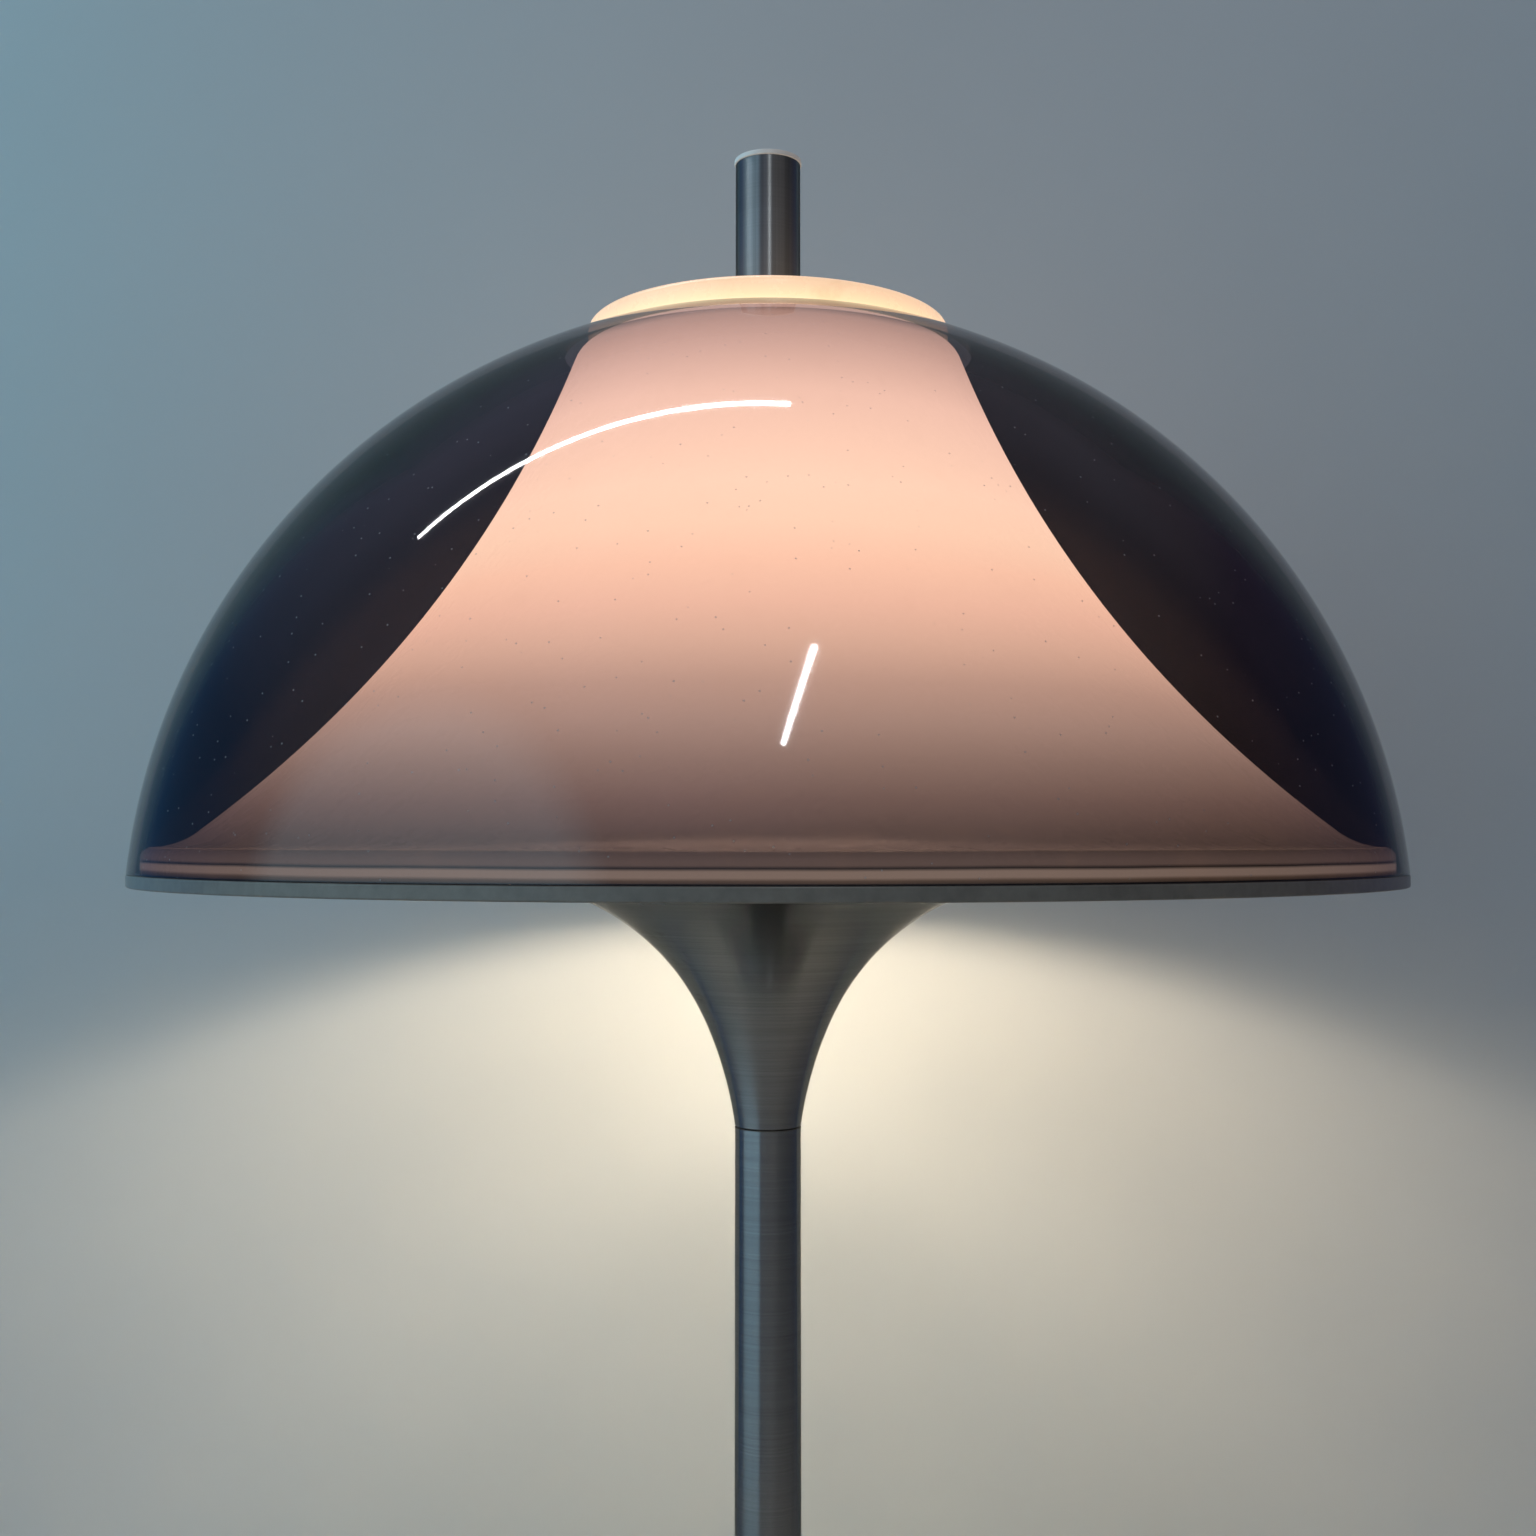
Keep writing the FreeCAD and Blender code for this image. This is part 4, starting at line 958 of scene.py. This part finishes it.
@dataclass
class Stem(Assembly):
    """The brushed tube and the hollow threaded rod that ties the lamp together."""

    wall: float = 0.0015
    seam: float = 0.0006
    seam_depth: float = 0.0007
    edge: float = 0.0001
    rod_bore: float = 0.0035
    thread_pitch: float = 0.001
    thread_depth: float = 0.00055
    thread_low: float = 0.400
    rows_per_turn: int = 4
    rod_steps: int = 24

    def build(self) -> None:
        """Build the tube and the rod, and finish the hardware on the rod."""
        self.tube()
        self.rod()
        self.dress(BUSH_METAL_DARKENED_AS_SHADE, "stem_lower_bush", "stem_upper_bush")
        self.dress(PLATED_STEEL, "rod_nuts", "rod_washers")
        self.dress(FLEX_SLEEVE, "riser_flex")

    def tube(self) -> None:
        """Build the tube, with a groove at its top painted near black as the seam's shadow, so that the
        seam with the trumpet shows.
        """
        low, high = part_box("stem_tube")
        radius, top = high[0], high[2]
        bottom = radius - self.seam_depth
        outline = Outline(STEM_METAL).to(radius, low[2]).line(radius, top - self.seam, steps=30)
        # The groove's near-black paint is a painted shadow for the seam.
        outline.paint(SEAM_PAINTED_SHADOW).to(bottom, top - self.seam).to(bottom, top).paint(STEM_METAL)
        outline.to(radius - self.wall, top).line(radius - self.wall, low[2], steps=4)
        self.turn("stem_sleeve", outline, Body.ROOT, "brushed_aluminium", "stem_tube", edge=self.edge)

    def rod(self) -> None:
        """Build the hollow rod with its screw thread above the holder plate."""
        low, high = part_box("tie_rod")
        radius = high[0]
        turns = round((high[2] - self.thread_low) / self.thread_pitch)
        outline = Outline(PLATED_STEEL).to(radius, low[2]).line(radius, self.thread_low, steps=6)
        outline.line(radius, high[2], turns * self.rows_per_turn)
        outline.to(self.rod_bore, high[2]).line(self.rod_bore, low[2], steps=6)
        shape = {"steps": self.rod_steps, "relief": self.thread}
        self.turn("threaded_rod", outline, Body.ROOT, "zinc_steel", "tie_rod", **shape)

    def thread(self, height: float, angle: float) -> float:
        """Shape the rod's thread.

        Args:
            height: a height on the rod.
            angle: an angle round it.

        Returns:
            How far the thread cuts in there, as a number below 0.
        """
        if height < self.thread_low:
            return 0.0
        phase = (height / self.thread_pitch - angle / math.tau) % 1.0
        return -self.thread_depth * abs(2.0 * phase - 1.0)


@dataclass
class Head(Assembly):
    """The trumpet under the shade, and the plate that carries the lampholders."""

    wall: float = 0.0015
    edge: float = 0.0002
    mouth_slope: float = math.radians(80.0)

    def build(self) -> None:
        """Build the trumpet and finish the plate."""
        self.trumpet()
        self.dress(WHITE_ENAMEL, "holder_plate")

    def trumpet(self) -> None:
        """Build the spun trumpet from its neck on the stem up to its mouth."""
        low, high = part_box("head_trumpet")
        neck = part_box("stem_tube")[1][0]
        flare = Flare(neck, low[2], high[0], self.mouth_slope)
        outline = Outline(HEAD_METAL)
        for radius, height in flare.skin(0.0):
            outline.to(radius, height)
        for radius, height in reversed(flare.skin(self.wall)):
            if height > low[2]:
                outline.to(radius, height)
        outline.to(neck - self.wall / math.cos(flare.neck_slope), low[2])
        self.turn("head_flare", outline, Body.ROOT, "brushed_aluminium", "head_trumpet", edge=self.edge)


@dataclass
class LampCluster(Assembly):
    """Three holders on the plate, each with an opal bulb."""

    glass_radius: float = 0.030
    glass_edge: float = 0.004
    glass_steps: int = 72
    neck_radius: float = 0.0122
    neck_ease: float = 0.001
    shoulder_drop: float = 0.003
    shoulder_turn: float = math.radians(5.6)
    button_radius: float = 0.0046
    button_height: float = 0.0018
    skirt_height: float = 0.0065
    skirt_width: float = 0.003
    skirt_rise: float = 0.001
    cap_ease: float = 0.0004
    cap_steps: int = 60
    cap_thread: float = 0.0008
    cap_pitch: float = 0.0036
    glow: Colour = (1.0, 0.80, 0.54)
    glow_strength: float = 5.0
    light_power: float = 1.38
    light_colour: Colour = (1.0, 0.81, 0.62)
    light_share: float = 0.5

    def build(self) -> None:
        """Build the bulbs, finish the holders and set a lamp in each bulb."""
        for number, body in enumerate((Body.BULB_1, Body.BULB_2, Body.BULB_3), start=1):
            self.bulb(number, body)
            self.cap(number, body)
            self.dress(PHENOLIC, f"lampholder_body_{number}")
            self.dress(TURNED_BRASS, f"lampholder_shell_{number}", f"lampholder_contact_{number}")
            self.dress(FLEX_SLEEVE, f"holder_lead_{number}")
        self.dress(PLATED_STEEL, "holder_nipples", "holder_nuts")

    def middle(self, node: str) -> Point:
        """Return where the upright axis of a node stands."""
        low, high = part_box(node)
        return (0.5 * (low[0] + high[0]), 0.5 * (low[1] + high[1]))

    def bulb(self, number: int, body: Body) -> None:
        """Build one globe and the lamp inside it.

        Args:
            number: which of the three bulbs it is.
            body: the body that carries it.
        """
        node = f"bulb_glass_{number}"
        low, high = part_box(node)
        centre = high[2] - self.glass_radius
        shoulder = math.acos(self.neck_radius / self.glass_radius)
        finish = GlowingOpal(
            "lit_bulb", low=low[2], high=high[2], strength=self.glow_strength,
            stops=(
                (0.0, (0.30, 0.20, 0.11)),
                (0.22, (0.62, 0.46, 0.28)),
                (0.5, self.glow),
                (1.0, self.glow),
            ),
        )
        outline = Outline(finish).to(0.0, low[2]).to(self.neck_radius - self.neck_ease, low[2])
        outline.to(self.neck_radius, low[2] + self.neck_ease)
        foot = centre - self.glass_radius * math.sin(shoulder)
        outline.line(self.neck_radius, foot - self.shoulder_drop, steps=3)
        outline.arc((0.0, centre), self.glass_radius, self.shoulder_turn - shoulder, UPRIGHT, steps=40)
        outline.points[-1] = (0.0, high[2])
        middle = self.middle(node)
        shape = {"centre": middle, "edge": self.glass_edge, "steps": self.glass_steps}
        piece = self.turn(f"globe_{number}", outline, body, "opal_glass", node, **shape)
        piece.visible_shadow = False
        self.light(number, Vector((*middle, centre)))

    def light(self, number: int, place: Vector) -> None:
        """Set a warm lamp inside a bulb.

        Args:
            number: which of the three bulbs it is in.
            place: the bulb's centre.
        """
        lamp = bpy.data.lights.new(f"bulb_light_{number}", "POINT")
        lamp.energy = self.light_power
        lamp.color = self.light_colour
        lamp.shadow_soft_size = self.light_share * self.glass_radius
        placed(lamp.name, lamp).location = place

    def cap(self, number: int, body: Body) -> None:
        """Build one bulb's screw cap with its rolled thread and its contact button.

        Args:
            number: which of the three bulbs it is.
            body: the body that carries it.
        """
        node = f"bulb_cap_{number}"
        low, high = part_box(node)
        middle = self.middle(node)
        radius = high[0] - middle[0]
        base = low[2] + self.skirt_height
        outline = Outline(NICKEL_PLATE).to(0.0, low[2]).to(self.button_radius, low[2])
        outline.to(self.button_radius, low[2] + self.button_height)
        outline.to(radius - self.skirt_width, base - self.skirt_rise).line(radius, base, steps=2)
        outline.line(radius, high[2], steps=30).to(radius - self.cap_ease, high[2]).to(0.0, high[2])

        def rolled(height: float, angle: float) -> float:
            """Shape the rolled thread.

            Args:
                height: a height on the cap.
                angle: an angle round it.

            Returns:
                How far the thread dips there, as a number below 0.
            """
            if height < base:
                return 0.0
            wave = math.cos(math.tau * (height - base) / self.cap_pitch - angle)
            return -0.5 * self.cap_thread * (1.0 - wave)

        shape = {"centre": middle, "steps": self.cap_steps, "relief": rolled}
        self.turn(f"screw_cap_{number}", outline, body, "nickel_cap", node, **shape)


@dataclass
class Shade(Assembly):
    """The smoked dome over the opal bell, with the spider that holds them and the lid on top."""

    dome_wall: float = 0.003
    dome_lower_arc: float = 0.2322
    dome_upper_arc: float = 0.2678
    dome_foot_slope: float = math.radians(5.5)
    dome_meeting: float = math.radians(59.8)
    dome_meeting_gap: float = 0.02
    dome_opening: float = 0.078
    bell_wall: float = 0.003
    bell_edge: float = 0.0006
    bell_sag: float = 0.017
    bell_neck: float = 0.0723
    bell_hole: float = 0.050
    flange_width: float = 0.006
    flange_turn: float = 0.012
    ledge_height: float = 0.0043
    brim_height: float = 0.009
    brim_width: float = 0.0115
    brim_round: float = 0.009
    brim_run: float = 1.1
    brim_inset: float = 0.001
    shoulder_round: float = 0.0055
    lip_round: float = 0.0036
    lip_clearance: float = 0.0004
    lid_wall: float = 0.0025
    lid_edge: float = 0.0025
    lid_hole: float = 0.0053
    bell_glow: float = 7.0
    bell_inside_glow: float = 2.0
    lid_glow: float = 1.0

    def build(self) -> None:
        """Build the dome, the bell and the lid, and finish the spider."""
        self.dome()
        self.bell()
        self.lid()
        self.dress(WHITE_ENAMEL, "shade_spider")

    def ledge(self) -> float:
        """Return the height of the bell's ledge, where the dome stands."""
        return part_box("opal_diffuser")[0][2] + self.ledge_height

    def dome_centres(self) -> tuple[Point, Point]:
        """Work out where the dome's arcs are struck from.

        Returns:
            The centres of its lower and its upper arc.
        """
        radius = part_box("smoked_dome")[1][0]
        lower = (
            radius - self.dome_lower_arc * math.cos(self.dome_foot_slope),
            self.ledge() - self.dome_lower_arc * math.sin(self.dome_foot_slope),
        )
        shift = self.dome_lower_arc - self.dome_upper_arc
        upper = (
            lower[0] + shift * math.cos(self.dome_meeting),
            lower[1] + shift * math.sin(self.dome_meeting),
        )
        return lower, upper

    def dome(self) -> None:
        """Build the dome: its polished outer skin, its lining and its sawn foot."""
        lower, upper = self.dome_centres()
        outline = Outline(SMOKED_SHEET)

        def skin(inset: float, upwards: bool) -> None:
            """Add one skin of the sheet.

            Args:
                inset: how far it lies inside the outer skin.
                upwards: whether it goes up from the foot, or down to it.
            """
            low_arc = self.dome_lower_arc - inset
            high_arc = self.dome_upper_arc - inset
            foot = math.asin((self.ledge() - lower[1]) / low_arc)
            top = math.acos((self.dome_opening - upper[0]) / high_arc)
            past_meeting = self.dome_meeting + self.dome_meeting_gap
            if upwards:
                outline.arc(lower, low_arc, foot, self.dome_meeting, steps=60)
                outline.arc(upper, high_arc, past_meeting, top, steps=24)
            else:
                outline.arc(upper, high_arc, top, past_meeting, steps=24)
                outline.arc(lower, low_arc, self.dome_meeting, foot, steps=60)

        skin(0.0, True)
        outline.paint(SMOKED_LINING)
        skin(self.dome_wall, False)
        outline.paint(SMOKED_EDGE)
        self.turn("smoked_hood", outline, Body.DOME, "smoked_acrylic", "smoked_dome")

    def bell_arc(self) -> tuple[Point, float, float, float]:
        """Work out the arc of the bell's waisted wall.

        Returns:
            Its centre, its radius, and its angles at the brim and at the neck.
        """
        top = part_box("opal_diffuser")[1][2]
        brim = self.ledge() + self.brim_height
        neck = Vector((self.bell_neck, top))
        foot = Vector((self.lip_radius() - self.brim_width, brim))
        chord = foot - neck
        radius = (chord.length ** 2 / 4.0 + self.bell_sag ** 2) / (2.0 * self.bell_sag)
        outward = Vector((-chord.y, chord.x)).normalized()
        centre = neck + chord / 2.0 + outward * (radius - self.bell_sag)
        start = math.atan2(foot.y - centre.y, foot.x - centre.x) % math.tau
        end = math.atan2(neck.y - centre.y, neck.x - centre.x) % math.tau
        return (centre.x, centre.y), radius, start, end

    def lip_radius(self) -> float:
        """Work out the bell's upright lip, just inside the dome.

        Returns:
            Its radius.
        """
        lower, _upper = self.dome_centres()
        inner = self.dome_lower_arc - self.dome_wall
        rise = self.ledge() + self.brim_height - lower[1]
        return lower[0] + math.sqrt(inner ** 2 - rise ** 2) - self.lip_clearance

    def bell(self) -> None:
        """Build the bell: its lip and ledge, its waisted wall and the flange at its neck."""
        low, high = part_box("opal_diffuser")
        rim, top, outer = low[2], high[2], high[0]
        ledge, brim = self.ledge(), self.ledge() + self.brim_height
        lip = self.lip_radius()
        centre, radius, start, end = self.bell_arc()
        lit, inside = self.bell_finishes(rim, top)
        outline = Outline(OPAL_RIM).to(outer, rim).to(outer, ledge).to(lip, ledge).paint(lit)
        outline.to(lip, brim - self.lip_round).eased(lip, brim, self.lip_round)
        foot = (lip - self.brim_width, brim)
        slope = start - UPRIGHT
        ease = self.brim_round
        outline.to(foot[0] + ease, brim)
        outline.rounded(foot, (foot[0] + ease * math.cos(slope), brim + ease * math.sin(slope)))
        above_brim = start - self.brim_run * ease / radius
        outline.arc(centre, radius, above_brim, end + self.shoulder_round / radius, steps=70)
        outline.rounded((self.bell_neck, top), (self.bell_neck - self.shoulder_round, top))
        outline.to(self.bell_hole, top).paint(inside).to(self.bell_hole, top - self.bell_wall)
        outline.to(self.bell_neck - self.flange_width, top - self.bell_wall)
        outline.arc(centre, radius + self.bell_wall, end + self.flange_turn, above_brim, steps=60)
        outline.to(foot[0] - self.brim_inset, brim - self.bell_wall)
        outline.to(lip - self.bell_wall, brim - self.bell_wall)
        outline.to(lip - self.bell_wall, rim).paint(OPAL_RIM)
        self.turn("opal_bell", outline, Body.BELL, "opal_acrylic", "opal_diffuser", edge=self.bell_edge)

    def bell_finishes(self, rim: float, top: float) -> tuple[Finish, Finish]:
        """Make the bell's glow from the bulbs inside it.

        Args:
            rim: the height of the bell's lower edge.
            top: the height of its neck.

        Returns:
            The finishes of its outside and its inside.
        """
        outside = GlowingOpal(
            "lit_bell", low=rim, high=top, strength=self.bell_glow,
            stops=(
                # The lip's dark and pale lines, painted into the glow by height.
                (0.0, (0.004, 0.004, 0.003)),
                (0.0232, (0.004, 0.004, 0.003)),
                (0.0240, (0.045, 0.036, 0.022)),
                (0.0290, (0.045, 0.036, 0.022)),
                (0.0300, (0.125, 0.112, 0.080)),
                (0.0405, (0.125, 0.112, 0.080)),
                (0.0416, (0.003, 0.003, 0.002)),
                (0.0456, (0.003, 0.003, 0.002)),
                # The brim, then the wall up to the neck.
                (0.0470, (0.064, 0.053, 0.039)),
                (0.056, (0.052, 0.043, 0.032)),
                (0.066, (0.030, 0.025, 0.018)),
                (0.132, (0.098, 0.074, 0.054)),
                (0.188, (0.168, 0.132, 0.094)),
                (0.248, (0.260, 0.206, 0.146)),
                (0.310, (0.352, 0.270, 0.185)),
                (0.374, (0.500, 0.378, 0.250)),
                (0.442, (0.640, 0.470, 0.308)),
                (0.511, (0.745, 0.560, 0.358)),
                (0.583, (0.800, 0.660, 0.425)),
                (0.656, (0.845, 0.710, 0.470)),
                (0.826, (0.805, 0.655, 0.455)),
                (0.930, (0.630, 0.508, 0.360)),
                (1.0, (0.520, 0.415, 0.295)),
            ),
        )
        inside = GlowingOpal(
            "lit_bell_inside", low=rim, high=top, strength=self.bell_inside_glow,
            stops=(
                (0.0, (0.15, 0.12, 0.085)),
                (0.1, (0.70, 0.575, 0.43)),
                (0.4, (1.0, 0.82, 0.62)),
                (1.0, (1.0, 0.82, 0.62)),
            ),
        )
        return outside, inside

    def lid(self) -> None:
        """Build the shallow lid, open below, with its hole for the rod."""
        low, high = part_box("top_cap")
        radius = high[0]
        inner = radius - self.lid_wall
        finish = GlowingOpal(
            "lit_lid", low=low[2], high=high[2], strength=self.lid_glow,
            stops=(
                (0.0, (1.0, 0.93, 0.54)),
                (0.3, (0.95, 0.74, 0.435)),
                (0.7, (0.90, 0.60, 0.385)),
                (1.0, (0.86, 0.56, 0.345)),
            ),
            body=(0.30, 0.24, 0.17), grime=(0.42, 0.24, 0.10), grime_share=0.35,
        )
        outline = Outline(finish).to(radius, low[2]).line(radius, high[2] - self.lid_edge, steps=5)
        outline.eased(radius, high[2], self.lid_edge).line(self.lid_hole, high[2], steps=16)
        outline.to(self.lid_hole, high[2] - self.lid_wall).line(inner, high[2] - self.lid_wall, steps=12)
        outline.to(inner, low[2])
        self.turn("opal_lid", outline, Body.LID, "opal_acrylic", "top_cap")


@dataclass
class Finial(Assembly):
    """The tube screwed on the rod's end, with its white end cap."""

    wall: float = 0.0015
    edge: float = 0.0002
    cap_flange: float = 0.0019
    spigot: float = 0.0109
    spigot_wall: float = 0.0014
    cap_round: float = 0.0005

    def build(self) -> None:
        """Build the tube and its cap, and finish the washer and the threaded bush."""
        self.tube()
        self.cap()
        self.dress(PLATED_STEEL, "finial_washer")
        self.dress(TURNED_BRASS, "finial_bush")

    def tube(self) -> None:
        """Build the brushed tube, eased at both ends."""
        low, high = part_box("finial_tube")
        radius = high[0]
        outline = Outline(FINIAL_METAL).to(radius, low[2]).line(radius, high[2], steps=20)
        outline.to(radius - self.wall, high[2]).line(radius - self.wall, low[2], steps=4)
        self.turn("finial_sleeve", outline, Body.FINIAL, "brushed_aluminium", "finial_tube", edge=self.edge)

    def cap(self) -> None:
        """Build the cap: a slightly crowned flange with a rounded brim on a hollow spigot."""
        low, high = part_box("finial_cap")
        radius = high[0]
        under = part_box("finial_tube")[1][2]
        brim = under + self.cap_flange
        crown = high[2] - brim
        crown_arc = (radius ** 2 + crown ** 2) / (2.0 * crown)
        bore = self.spigot - self.spigot_wall
        outline = Outline(MILKY_CAP_PAINTED_GLOW).to(self.spigot, low[2]).line(self.spigot, under, steps=4)
        outline.to(radius, under)
        brim_turn = math.acos(radius / crown_arc)
        outline.arc((0.0, high[2] - crown_arc), crown_arc, brim_turn, UPRIGHT, steps=10)
        outline.points[-1] = (0.0, high[2])
        outline.to(0.0, under).line(bore, under, steps=5).line(bore, low[2], steps=4)
        self.turn("finial_plug", outline, Body.FINIAL, "white_plastic", "finial_cap", edge=self.cap_round)


@dataclass(frozen=True)
class Strip:
    """A flat studio lamp between two points, which lights the scene or only shows where it is mirrored."""

    name: str
    start: Place
    end: Place
    width: float
    level: float
    colour: Colour
    mirrored: bool = True
    lights: bool = True


@dataclass
class Studio:
    """The floor, the backdrop, the light and the camera."""

    backdrop_distance: float = 0.30
    backdrop_width: float = 1.32
    backdrop_height: float = 1.26
    floor_size: float = 6.0
    backdrop_tone: Colour = (0.62, 0.66, 0.66)
    floor_tone: Colour = (0.42, 0.425, 0.42)
    floor_shown: Range = (0.60, 1.0)
    floor_mirrored: Range = (0.22, 0.60)
    plain_tone: Colour = (0.30, 0.33, 0.345)
    bright_way: Place = (-0.6, -0.5, 0.62)
    bright_range: Range = (-0.33, 1.0)
    room: Stops = (
        (0.0, (0.025, 0.030, 0.040)),
        (0.40, (0.155, 0.165, 0.190)),
        (0.60, (0.175, 0.185, 0.210)),
        (0.83, (0.130, 0.190, 0.280)),
        (1.0, (0.140, 0.220, 0.340)),
    )
    back_left: Stops = (
        (0.0, (0.03, 0.15, 0.36)),
        (0.30, (0.06, 0.17, 0.38)),
        (0.52, (0.25, 0.34, 0.56)),
        (0.75, (0.45, 0.50, 0.74)),
        (1.0, (0.45, 0.50, 0.70)),
    )
    back_right: Stops = (
        (0.0, (0.045, 0.060, 0.130)),
        (0.30, (0.055, 0.072, 0.160)),
        (0.50, (0.12, 0.10, 0.19)),
        (0.62, (0.26, 0.23, 0.30)),
        (0.75, (0.36, 0.36, 0.46)),
        (1.0, (0.36, 0.36, 0.46)),
    )
    back_middle: Range = (-0.25, 0.25)
    back_edge: Range = (0.0, 0.35)
    window_way: Place = (-0.87, -0.49, 0.0)
    window_edge: Range = (0.80, 0.87)
    window_light: Colour = (0.59, 0.93, 1.17)
    target: Place = (0.0, 0.0, 0.48)
    camera_place: Place = (0.0, -0.6682, 0.40987)
    camera_pitch: float = math.radians(2.34)
    focal_length: float = 41.0156
    sensor_width: float = 36.0
    nearest: float = 0.01
    strips: tuple[Strip, ...] = (
        Strip(
            "ceiling_tube", (-1.430, 0.167, 1.952), (0.057, 0.063, 1.712),
            width=0.025, level=80.0, colour=WHITE_LIGHT, lights=False,
        ),
        Strip(
            "slanting_tube", (0.192, -1.186, 1.589), (0.084, -1.916, 1.496),
            width=0.022, level=70.0, colour=WHITE_LIGHT, lights=False,
        ),
        Strip(
            "side_window", (-0.80, 0.08, 0.45), (-0.80, 0.08, 1.7),
            width=0.6, level=1.20, colour=(0.20, 0.78, 1.0), mirrored=False,
        ),
        Strip(
            "front_fill", (-0.5, -2.2, 0.5), (-0.5, -2.2, 1.9),
            width=1.8, level=0.16, colour=(1.0, 0.90, 0.80), mirrored=False,
        ),
        Strip(
            "ceiling_glow", (-0.35, -0.2, 1.3), (0.45, -0.2, 1.3),
            width=0.3, level=0.60, colour=(1.0, 0.40, 0.18), mirrored=False,
        ),
    )

    def build(self) -> None:
        """Build the backdrop, the floor, the lights, the room's light and the camera."""
        half = 0.5 * self.backdrop_width
        depth = self.backdrop_distance
        tall = self.backdrop_height
        wall = [(-half, depth, 0.0), (half, depth, 0.0), (half, depth, tall), (-half, depth, tall)]
        self.panel("backdrop", wall, StudioPaint("backdrop_paint", self.backdrop_tone, (half, tall)))
        side = 0.5 * self.floor_size
        floor = [(-side, -side, 0.0), (side, -side, 0.0), (side, side, 0.0), (-side, side, 0.0)]
        floor_paint = StudioPaint(
            "floor_paint", self.floor_tone, shown=self.floor_shown, mirrored=self.floor_mirrored,
        )
        self.panel("studio_floor", floor, floor_paint)
        for strip in self.strips:
            self.strip_light(strip)
        self.room_light()
        self.camera()

    def panel(self, name: str, points: list[Place], finish: Finish) -> None:
        """Build a flat panel of the studio.

        Args:
            name: the panel's name.
            points: its four corners, in order round its face.
            finish: its paint.
        """
        mesh = bpy.data.meshes.new(name)
        mesh.from_pydata(points, [], [(0, 1, 2, 3)])
        mesh.materials.append(finish.material())
        placed(name, mesh)

    def strip_light(self, strip: Strip) -> None:
        """Hang one strip lamp so that it faces the shade.

        Args:
            strip: what the lamp is like.
        """
        start, end = Vector(strip.start), Vector(strip.end)
        along = (end - start).normalized()
        middle = 0.5 * (start + end)
        away = middle - Vector(self.target)
        away = (away - along * away.dot(along)).normalized()
        across = along.cross(away)
        lamp = bpy.data.lights.new(strip.name, "AREA")
        lamp.shape = "RECTANGLE"
        lamp.size = strip.width
        lamp.size_y = (end - start).length
        lamp.energy = strip.level * math.pi * lamp.size * lamp.size_y
        lamp.color = strip.colour
        holder = placed(strip.name, lamp)
        turn = Matrix((across, along, away)).transposed().to_4x4()
        holder.matrix_world = Matrix.Translation(middle) @ turn
        holder.visible_camera = False
        holder.visible_glossy = strip.mirrored
        holder.visible_diffuse = strip.lights

    def room_light(self) -> None:
        """Light the room softly, with a cool window at the front left; the eye sees one plain tone."""
        world = bpy.data.worlds.new("room")
        bpy.context.scene.world = world
        graph = Graph(world)
        way = graph.node("ShaderNodeTexCoord").outputs["Generated"]

        def towards(direction: Place) -> Socket:
            """Return how nearly a ray goes in the direction."""
            return graph.measure("DOT_PRODUCT", way, direction)

        front = graph.ramp(graph.remap(towards(self.bright_way), self.bright_range), self.room)
        window = graph.remap(towards(self.window_way), self.window_edge)
        front = graph.blend(window, front, self.window_light)
        rise = towards((0.0, 0.0, 1.0))
        leftness = graph.remap(towards((-1.0, 0.0, 0.0)), self.back_middle)
        back = graph.blend(leftness, graph.ramp(rise, self.back_right), graph.ramp(rise, self.back_left))
        behind = graph.remap(towards((0.0, 1.0, 0.0)), self.back_edge)
        seen = graph.node("ShaderNodeLightPath").outputs["Is Camera Ray"]
        light = graph.blend(seen, graph.blend(behind, front, back), self.plain_tone)
        sky = graph.node("ShaderNodeBackground", {"Color": light, "Strength": 1.0})
        graph.node("ShaderNodeOutputWorld", {"Surface": sky.outputs[0]})

    def camera(self) -> None:
        """Stand the camera close to the lamp, a little below the shade's rim, looking slightly up."""
        lens = bpy.data.cameras.new("camera")
        lens.lens = self.focal_length
        lens.sensor_width = self.sensor_width
        lens.clip_start = self.nearest
        holder = placed("camera", lens)
        holder.location = self.camera_place
        holder.rotation_euler = (UPRIGHT + self.camera_pitch, 0.0, 0.0)
        bpy.context.scene.camera = holder


def main() -> None:
    """Load the frame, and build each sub-assembly and the studio."""
    logging.basicConfig(level=logging.INFO, format="%(name)s: %(message)s")
    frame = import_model()
    nodes = frame["nodes"]
    for kind in (Foot, Stem, Head, LampCluster, Shade, Finial):
        kind(nodes).build()
    Studio().build()
    bpy.context.scene.view_settings.view_transform = "Standard"


if __name__ == "__main__":
    main()
